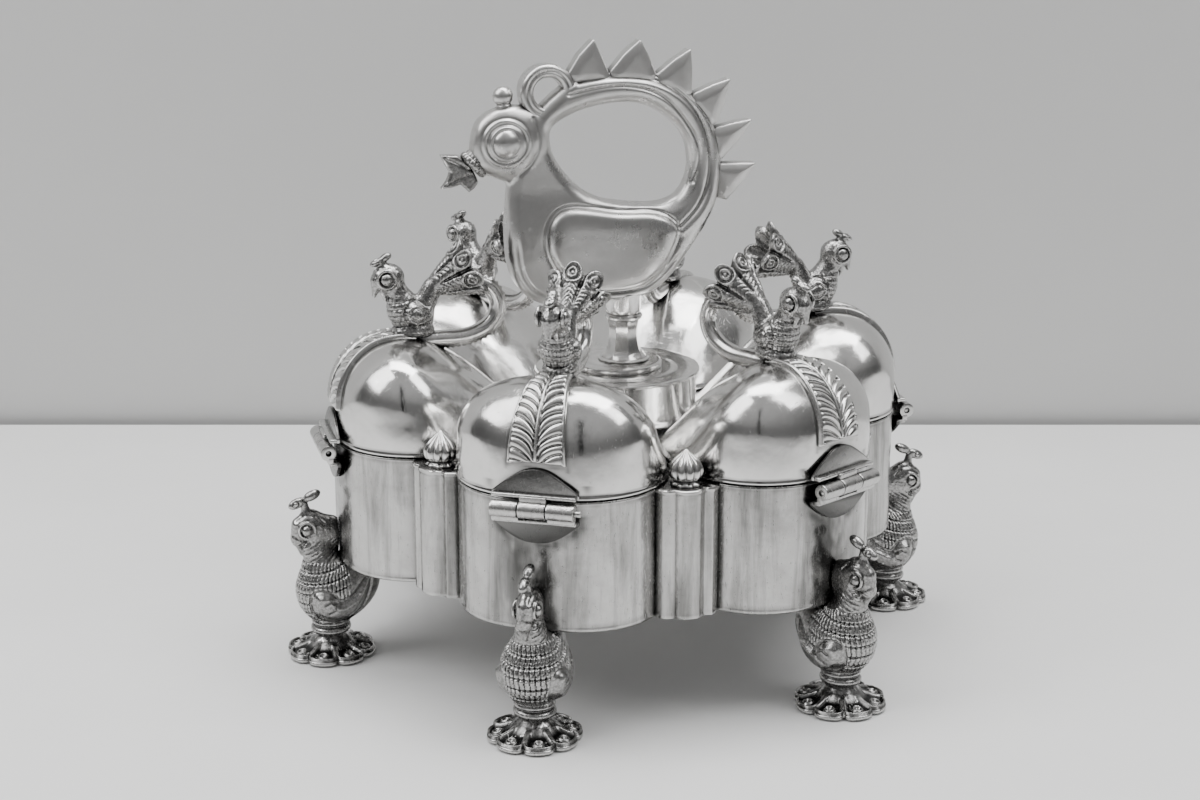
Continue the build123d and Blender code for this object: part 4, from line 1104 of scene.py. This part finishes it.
def stem_skin():
    prof = [(0.001, 71.22), (6.2, 71.22), (6.38, 71.4), (6.38, 71.7), (6.1, 71.9)]
    prof += [tuple(p) for p in spline([(5.7, 72.0), (4.75, 73.2), (4.05, 75.2), (3.6, 78.2), (3.65, 80.0), (4.1, 81.6)], 22, closed=False)]
    prof += [(4.55, 81.9), (4.75, 82.4), (4.6, 82.9), (4.2, 83.2), (4.35, 83.6), (4.5, 84.2), (4.5, 88.2), (0.001, 88.3)]
    prof = np.array(prof)

    def fn(th, k):
        z = prof[k, 1]
        a = (th / (math.pi / 4)) % 1.0 - 0.5
        flat = math.cos(math.pi / 8) / np.cos(a * math.pi / 4)
        amt = step01(72.2, 73.2, z) * (1 - step01(81.0, 81.9, z)) + step01(83.4, 84.0, z)
        return 1 + (flat * 1.03 - 1) * amt
    V, F = lathe(prof, fn, 128)
    V[:, 0] += 1.6
    return V, F


def disc_skin():
    prof = [(0.001, 68.5), (19.0, 68.5), (20.4, 68.45), (20.75, 68.7), (20.8, 69.05), (20.6, 69.4), (20.2, 69.5)]
    prof += [(r, 69.5 - 0.28 * math.exp(-((r - 15.5) / 1.6) ** 2)) for r in np.linspace(19.6, 11.6, 16)]
    prof += [(11.3, 69.52), (0.001, 69.52)]

    def fn(th, k):
        return 1 + 0.0015 * np.sin(3 * th) + 0.001 * np.sin(7 * th + 1)
    return lathe(prof, fn, 200)


def step_skin():
    prof = [(0.001, 69.5), (10.9, 69.5), (11.15, 69.6), (11.2, 69.9), (11.18, 70.6), (11.0, 71.0), (10.6, 71.18), (9.8, 71.2),
            (8.0, 71.12), (6.6, 71.2), (0.001, 71.2)]

    def fn(th, k):
        return 1 + 0.002 * np.sin(2 * th + 0.4)
    return lathe(prof, fn, 160)


# ----------------------------------------------------------------- hinges
def prism(poly, axis, c0, c1, bevel=0.22, seg=3, round_pts=None):
    """Plate from an outline; axis 'x' means the outline is in (v, z) and the plate lies between u = c0 and c1."""
    bm = bmesh.new()
    lo = [bm.verts.new((c0, a, b) if axis == 'x' else (a, c0, b)) for a, b in poly]
    hi = [bm.verts.new((c1, a, b) if axis == 'x' else (a, c1, b)) for a, b in poly]
    n = len(poly)
    bm.faces.new(lo)
    bm.faces.new(hi[::-1])
    for i in range(n):
        bm.faces.new((lo[i], hi[i], hi[(i + 1) % n], lo[(i + 1) % n]))
    bmesh.ops.recalc_face_normals(bm, faces=bm.faces)
    ed = [e for e in bm.edges if e.calc_face_angle(0.0) > 0.5]
    bmesh.ops.bevel(bm, geom=ed, offset=bevel, segments=seg, profile=0.5, affect='EDGES', clamp_overlap=True)
    V = np.array([v.co[:] for v in bm.verts])
    bm.verts.index_update()
    F = [[v.index for v in f.verts] for f in bm.faces]
    bm.free()
    return V, F


def barrel(v0, v1, r, bore, n=56, flat=0.14):
    """Rolled knuckle round the hinge axis, with its rolled seam as a shallow line."""
    th = np.linspace(0, 2 * math.pi, n, endpoint=False)
    rows = []
    seam = 1 - 0.035 * np.exp(-((((th - 2.5) + math.pi) % (2 * math.pi) - math.pi) / 0.10) ** 2)
    prof = [(bore, v0 + 0.02), (r - flat - 0.06, v0), (r - 0.05, v0 + flat * 0.5), (r, v0 + flat * 1.3)]
    prof += [(r * (1 + 0.006 * math.sin(2.2 * t)), t) for t in np.linspace(v0 + 0.5, v1 - 0.5, 9)]
    prof += [(r, v1 - flat * 1.3), (r - 0.05, v1 - flat * 0.5), (r - flat - 0.06, v1), (bore, v1 - 0.02)]
    for rr, t in prof:
        k = seam if rr > bore + 0.3 else np.ones_like(seam)
        rows.append(np.stack([75.0 + rr * k * np.cos(th), np.full(n, t), 54.8 + rr * k * np.sin(th)], -1))
    P = np.stack(rows)
    m = len(rows)
    V = P.reshape(-1, 3)
    F = grid_faces(m + 1, n, closed_v=True)
    F = F % (m * n)
    return V, [list(map(int, f)) for f in fix_out(V, F)]


def pin_skin(v0, v1, r):
    """Pin with a slightly hammered head at its free end."""
    th = np.linspace(0, 2 * math.pi, 28, endpoint=False)
    prof = [(0.001, v0), (r * 0.85, v0), (r, v0 + 0.15), (r, v1 - 0.5), (r * 0.985, v1 - 0.3), (r * 0.85, v1 - 0.08), (0.45 * r, v1), (0.001, v1)]
    P = np.stack([np.stack([75.0 + rr * np.cos(th), np.full(28, t), 54.8 + rr * np.sin(th)], -1) for rr, t in prof])
    V = P.reshape(-1, 3)
    F = fix_out(V, grid_faces(len(prof), 28, closed_v=True))
    return V, [list(map(int, f)) for f in F]


def join(parts):
    VV, FF, o = [], [], 0
    for V, F in parts:
        VV.append(np.asarray(V))
        FF += [[int(k) + o for k in f] for f in F]
        o += len(V)
    return np.concatenate(VV), FF


def auto_smooth(me, deg=35):
    bm = bmesh.new()
    bm.from_mesh(me)
    for e in bm.edges:
        e.smooth = e.calc_face_angle(0.0) < math.radians(deg)
    bm.to_mesh(me)
    bm.free()
    return me


def leaf_outline(pts, n=40):
    return [tuple(p) for p in spline(pts, n, closed=False)]


UP_TOP = leaf_outline([(10.15, 58.3), (8.6, 59.6), (5.8, 61.6), (3.0, 63.2), (0.0, 63.75), (-3.0, 63.2), (-5.8, 61.6), (-8.6, 59.6),
                       (-10.15, 58.3)])
LO_BOT = leaf_outline([(-10.15, 51.3), (-8.6, 50.0), (-5.6, 47.9), (-2.6, 46.7), (0.0, 46.45), (2.6, 46.7), (5.6, 47.9), (8.6, 50.0),
                       (10.15, 51.3)])


def upper_hinge():
    parts = [prism([(-10.15, 57.35)] + [(10.15, 57.35)] + UP_TOP, 'x', 72.15, 72.95, 0.16),
             prism([(-9.85, 57.3), (9.85, 57.3), (9.85, 58.2), (-9.85, 58.2)], 'x', 72.3, 74.6, 0.30),
             prism([(-3.15, 55.9), (3.15, 55.9), (3.15, 57.9), (-3.15, 57.9)], 'x', 73.75, 75.2, 0.25),
             barrel(-3.18, 3.18, 1.9, 0.8)]
    return join(parts)


def lower_hinge():
    parts = [prism([(10.15, 52.2)] + [(-10.15, 52.2)] + LO_BOT, 'x', 72.05, 72.95, 0.16),
             prism([(-9.85, 51.5), (9.85, 51.5), (9.85, 52.4), (-9.85, 52.4)], 'x', 72.3, 74.6, 0.30)]
    for s in (-1, 1):
        a, b = sorted((s * 3.37, s * 9.73))
        parts.append(prism([(a, 52.0), (b, 52.0), (b, 53.8), (a, 53.8)], 'x', 73.75, 75.2, 0.25))
        parts.append(barrel(a, b, 1.9, 0.76))
    return join(parts)


# ---------------------------------------------------------------- pillars
FLUTES = [(7.9, 58.2), (7.4, 61.0), (5.6, 62.9), (3.5, 62.9), (2.2, 64.1), (0.0, 64.5)]


def pillar_mesh():
    """Fluted front between two chambers, with a wavy top plate."""
    right = [(p, -q) for (q, p) in FLUTES]
    left = [(p, q) for (q, p) in reversed(FLUTES[:-1])]
    a = spline(right[0:4], 26, closed=False)
    b = spline(right[3:] + left[0:3], 56, closed=False)
    c = spline(left[2:], 26, closed=False)
    front = np.concatenate([a[:-1], b, c[1:]])
    back = np.array([(55.0, 7.6), (52.0, 5.6), (50.6, 3.0), (50.2, 0.0), (50.6, -3.0), (52.0, -5.6), (55.0, -7.6)])
    plan = np.concatenate([front, back])
    ctr = np.array([57.5, 0.0])
    rows = []
    for z, g in [(25.0, -0.35), (25.05, -0.08), (25.4, 0.05), (26.0, -0.05)] + [(z, -0.05) for z in np.linspace(27, 54.4, 20)] + \
                [(54.9, -0.05), (55.1, 0.02), (55.25, 0.14), (55.6, 0.20), (55.95, 0.16), (56.12, -0.05)]:
        d = plan - ctr
        L = np.linalg.norm(d, axis=1, keepdims=True)
        rows.append(np.concatenate([ctr + d * (1 + g / L), np.full((len(plan), 1), z)], 1))
    for k in (0.6, 0.0):
        rows.append(np.concatenate([ctr + (plan - ctr) * k, np.full((len(plan), 1), 56.14)], 1))
    bot = np.concatenate([ctr + (plan - ctr) * 0.0, np.full((len(plan), 1), 25.0)], 1)
    P = np.stack([bot] + rows)
    V = P.reshape(-1, 3)
    return V, fix_out(V, grid_faces(len(P), len(plan), closed_v=True))


def sprig_mesh(h):
    """Bell-shaped bloom in the beak: three thick pointed petals."""
    f = Field((-45.2, -3.2, 114.8), (-34.0, 3.2, 126.0), h)
    X, Y, Z = f.X, f.Y, f.Z
    poly = [(-36.4, 120.6), (-38.2, 123.2), (-40.4, 124.6), (-44.5, 124.8), (-43.2, 122.2), (-42.2, 120.4), (-43.0, 118.4),
            (-44.5, 116.6), (-41.6, 116.9), (-39.7, 117.5), (-37.6, 115.5), (-36.3, 116.4), (-35.2, 117.9)]
    d2 = poly_dist(poly, X, Z)
    d = slab(d2, 1.55, Y, 0.7)
    rib = np.minimum(line_dist([(-37.0, 120.8), (-40.2, 122.6), (-43.8, 124.4)], X, Z), line_dist([(-37.2, 119.8), (-40.6, 118.8), (-43.8, 117.0)], X, Z))
    d = d + 0.26 * np.exp(-(rib / 0.3) ** 2) * step01(0.5, 1.0, np.abs(Y)) - 0.0
    return f.mesh(d, "sprig")


# ============================================================ building
def clean(V, F):
    """Drops doubled corners that a grid leaves at its poles."""
    faces = []
    for f in F:
        g = []
        for k in f:
            if k not in g:
                g.append(int(k))
        if len(g) > 2:
            faces.append(g)
    return faces


def six(me, stem, mat, body_fmt, node_fmt):
    for i in range(6):
        piece(me, "%s_%d" % (stem, i + 1), mat, body_fmt % (i + 1) if "%" in body_fmt else body_fmt,
              [node_fmt % (i + 1)] if node_fmt else [], PH[i])


def dull_plates(me):
    """The flat hinge plates are darker than the rubbed barrels and lips."""
    at = me.attributes["cavity"].data
    for v, a in zip(me.vertices, at):
        x, y, z = v.co[0] / MM, v.co[1] / MM, v.co[2] / MM
        u = math.hypot(x, y) * math.cos((math.atan2(y, x) + math.pi / 6) % (math.pi / 3) - math.pi / 6)
        if u < 73.0 and z > 58.25:
            a.value = max(a.value, 0.85)
        elif u < 73.0 and z < 52.45:
            a.value = 1.0
    return me


VOX = 0.2

# lid birds
V, F = lid_bird_mesh(VOX)
me = cavity(mesh_of("lid_bird_skin", V, F), 16, 0.42)
six(me, "lid_bird_skin", M_OX, "lid_%d", "lid_bird_%d")

# leg birds
V, F = leg_bird_mesh(VOX * 1.1)
me = cavity(mesh_of("leg_bird_skin", V, F), 16, 0.42)
six(me, "leg_bird_skin", M_OX, "root", "leg_bird_%d")

# flower feet
V, F = foot_mesh()
me = weld(mesh_of("flower_foot_skin", V, F))
six(add_painted_darkness(cavity(me, 12, 0.35), foot_dark), "flower_foot_skin", M_OX, "root", "flower_foot_%d")

# straps with their stems
V, F = strap_mesh()
me1 = cavity(weld(mesh_of("leaf_skin", V, F)), 10, 0.25)
V2, F2 = rod_mesh()
me2 = cavity(mesh_of("stem_skin", V2, F2), 12, 0.3)
for i in range(6):
    piece(me1, "leaf_skin_%d" % (i + 1), M_LEAF, "lid_%d" % (i + 1), ["leaf_strap_%d" % (i + 1)], PH[i])
    piece(me2, "stem_skin_%d" % (i + 1), M_LEAF, "lid_%d" % (i + 1), [], PH[i])

# domes and cups, each with its own dents
for i in range(6):
    me = add_painted_darkness(cavity(weld(dome_mesh(11.0 + 3.7 * i)), 8, 0.5), dome_painted_shade(3.3 * i))
    piece(me, "dome_skin_%d" % (i + 1), M_POL, "lid_%d" % (i + 1), ["lid_dome_%d" % (i + 1)], PH[i])
    me = add_painted_darkness(cavity(weld(cup_mesh(40.0 + 5.1 * i)), 8, 0.5), cup_shade_and_reflection(7.7 * i))
    piece(me, "cup_skin_%d" % (i + 1), M_CUP, "root", ["chamber_cup_%d" % (i + 1)], PH[i])

# peacock
for k, (V, F) in peacock_meshes(0.26).items():
    me = cavity(mesh_of(k + "_skin", V, F), 16, 0.5)
    piece(me, k + "_skin", M_SPIKE if k == "peacock_tail_spikes" else M_PEA, "root", [k])
for k, (V, F) in collar_meshes(0.16).items():
    me = cavity(mesh_of(k + "_skin", V, F), 12, 0.35)
    piece(me, k + "_skin", M_OX, "root", [k])
V, F = sprig_mesh(0.14)
piece(cavity(mesh_of("beak_sprig_skin", V, F), 12, 0.35), "beak_sprig_skin", M_OX, "root", ["beak_sprig"])

# pedestal
for nm, fn_ in (("pedestal_stem", stem_skin), ("flange_disc", disc_skin), ("step_disc", step_skin)):
    V, F = fn_()
    me = auto_smooth(weld(mesh_of(nm + "_skin", V, F)), 28)
    piece(cavity(me, 8, 0.4), nm + "_skin", M_CUP2, "root", [nm])

# finials and pillars: one mesh each, set round the box
V, F = bud_mesh()
P6 = np.concatenate([turn(V + np.array([59.2, 0, 0]), 30 + 60 * i) for i in range(6)])
F6 = np.concatenate([F + i * len(V) for i in range(6)])
piece(cavity(weld(mesh_of("finials_skin", P6, F6)), 8, 0.3), "finials_skin", M_POL, "root", ["bud_finials"])
V, F = pillar_mesh()
P6 = np.concatenate([turn(V, 30 + 60 * i) for i in range(6)])
F6 = np.concatenate([F + i * len(V) for i in range(6)])
piece(cavity(auto_smooth(weld(mesh_of("pillars_skin", P6, F6)), 40), 8, 0.4), "pillars_skin", M_CUP, "root", ["corner_pillars"])

# hinges
V, F = upper_hinge()
me = auto_smooth(mesh_of("upper_hinge_skin", V, F), 38)
six(dull_plates(cavity(me, 3, 0.3)), "upper_hinge_skin", M_HINGE, "lid_%d", "hinge_upper_leaf_%d")
V, F = lower_hinge()
V = np.asarray(V)
P6 = np.concatenate([turn(V, PH[i]) for i in range(6)])
F6 = [[k + i * len(V) for k in f] for i in range(6) for f in F]
me = auto_smooth(mesh_of("lower_hinges_skin", P6, F6), 38)
piece(dull_plates(cavity(me, 3, 0.3)), "lower_hinges_skin", M_HINGE, "root", ["hinge_lower_leaves"])
PIN_OUT = [1.4, 1.4, 1.4, -1.0, 1.5, 1.2]
parts = []
for i in range(6):
    V, F = pin_skin(-9.45, 9.75 + PIN_OUT[i], 0.745)
    parts.append((turn(np.asarray(V), PH[i]), F))
V, F = join(parts)
piece(cavity(weld(mesh_of("pins_skin", V, F)), 2, 0.3), "pins_skin", M_HINGE, "root", ["hinge_pins"])


# ------------------------------------------------------------------- stage
def sheet_of(name, fn, nx, ny, mat):
    """A sheet from a function of two parameters, in metres."""
    bm = bmesh.new()
    vs = [[bm.verts.new(fn(i / nx, j / ny)) for j in range(ny + 1)] for i in range(nx + 1)]
    for i in range(nx):
        for j in range(ny):
            bm.faces.new((vs[i][j], vs[i + 1][j], vs[i + 1][j + 1], vs[i][j + 1]))
    me = bpy.data.meshes.new(name)
    bm.to_mesh(me)
    bm.free()
    me.polygons.foreach_set("use_smooth", np.ones(len(me.polygons), dtype=bool))
    ob = bpy.data.objects.new(name, me)
    bpy.context.scene.collection.objects.link(ob)
    me.materials.append(mat)
    return ob


def plain(name, a, b, scale, rough, near=None):
    """Plain matt colour; `near` darkens it softly towards the viewer's side, out of the frame: a painted shadow there.
    """
    m, nt, bs = new_mat(name)
    tc = nt.nodes.new("ShaderNodeTexCoord")
    n = tex_noise(nt, tc.outputs["Object"], scale, 5, 0.6)
    col = mix_col(nt, ramp(nt, n, [(0.3, 0.0), (0.7, 1.0)]), (a, a, a * 0.995), (b, b, b * 0.995))
    # painted shadow on the viewer's side of the table
    if near is not None:
        dt = nt.nodes.new("ShaderNodeVectorMath")
        dt.operation = 'DOT_PRODUCT'
        dt.inputs[1].default_value = tuple(cam_to_row(0, 1, 0))
        nt.links.new(tc.outputs["Object"], dt.inputs[0])
        mr = nt.nodes.new("ShaderNodeMapRange")
        mr.inputs["From Min"].default_value = -0.38
        mr.inputs["From Max"].default_value = -0.15
        mr.inputs["To Min"].default_value = near
        nt.links.new(dt.outputs["Value"], mr.inputs["Value"])
        col = mix_col(nt, 1.0, col, mr.outputs[0], 'MULTIPLY')
    nt.links.new(col, bs.inputs["Base Color"])
    bs.inputs["Roughness"].default_value = rough
    bs.inputs["Specular IOR Level"].default_value = 0.2
    return m


BACK = 0.187          # where the pale table ends, behind the object


def table_pt(a, b):
    return cam_to_row(-1.3 + 2.6 * a, BACK - 1.9 + 1.9 * b, -0.0002)


def wall_pt(a, b):
    return cam_to_row(-1.3 + 2.6 * a, BACK + 0.004, -0.02 + 0.62 * b)


M_TABLE = plain("pale_table", 0.79, 0.825, 14.0, 0.7, near=0.42)
M_WALL = plain("grey_backdrop", 0.66, 0.68, 6.0, 0.85)
floor = sheet_of("floor", table_pt, 60, 60, M_TABLE)
wall = sheet_of("backdrop", wall_pt, 40, 20, M_WALL)

world = bpy.data.worlds.new("studio")
world.use_nodes = True
wn = world.node_tree
bg = wn.nodes["Background"]
wtc = wn.nodes.new("ShaderNodeTexCoord")


def wdot(v):
    n = wn.nodes.new("ShaderNodeVectorMath")
    n.operation = 'DOT_PRODUCT'
    n.inputs[1].default_value = tuple(v)
    wn.links.new(wtc.outputs["Generated"], n.inputs[0])
    return n.outputs["Value"]


def wramp(src, stops, lo=-1.0, hi=1.0):
    mr = wn.nodes.new("ShaderNodeMapRange")
    mr.inputs["From Min"].default_value = lo
    mr.inputs["From Max"].default_value = hi
    wn.links.new(src, mr.inputs["Value"])
    return ramp(wn, mr.outputs[0], stops)


height = wdot((0, 0, 1))
sky = wramp(height, [(0.0, 0.25), (0.50, 0.17), (0.62, 0.20), (0.74, 0.38), (0.90, 0.64), (1.0, 0.72)])
# the darker side of the room, with the dark shape of the person behind the camera
front = wramp(wdot(cam_to_row(0, -1, 0)), [(0.0, 0.9), (0.55, 0.9), (0.85, 1.45), (1.0, 1.7)])
sky = mix_col(wn, 1.0, sky, front, 'MULTIPLY')
side = wdot(cam_to_row(0.9986, -0.052, 0))
figure = math_node(wn, 'MULTIPLY', wramp(side, [(0.465, 0.0), (0.485, 1.0), (0.515, 1.0), (0.535, 0.0)]),
                   wramp(wdot(cam_to_row(0, -1, 0)), [(0.55, 0.0), (0.70, 1.0)]))
figure = math_node(wn, 'MULTIPLY', figure, wramp(height, [(0.52, 1.0), (0.88, 1.0), (0.93, 0.0)]))
sky = mix_col(wn, figure, sky, (0.006, 0.006, 0.006))
wn.links.new(sky, bg.inputs["Color"])
bg.inputs["Strength"].default_value = 0.60
bpy.context.scene.world = world


def area(name, az, el, dist, size, power, tgt=(0, 0, 60), size_y=None):
    """Soft studio panel; az is measured in the camera's frame, -90 is towards the camera."""
    d = bpy.data.lights.new(name, 'AREA')
    d.shape = 'RECTANGLE'
    d.size = size
    d.size_y = size_y or size
    d.energy = power
    o = bpy.data.objects.new(name, d)
    bpy.context.scene.collection.objects.link(o)
    a, e = math.radians(az), math.radians(el)
    p = cam_to_row(dist * math.cos(e) * math.cos(a), dist * math.cos(e) * math.sin(a), dist * math.sin(e))
    t = Vector(tgt) * MM
    o.location = t + p
    o.rotation_mode = 'QUATERNION'
    o.rotation_quaternion = (t - o.location).to_track_quat('-Z', 'Y')
    return o


area("window_left", -166, 50, 1.25, 0.75, 9.5, size_y=0.95)
area("panel_right", -18, 54, 1.35, 0.55, 6.0, size_y=0.8)
area("panel_top", 76, 76, 1.10, 0.90, 17.0, size_y=0.7)
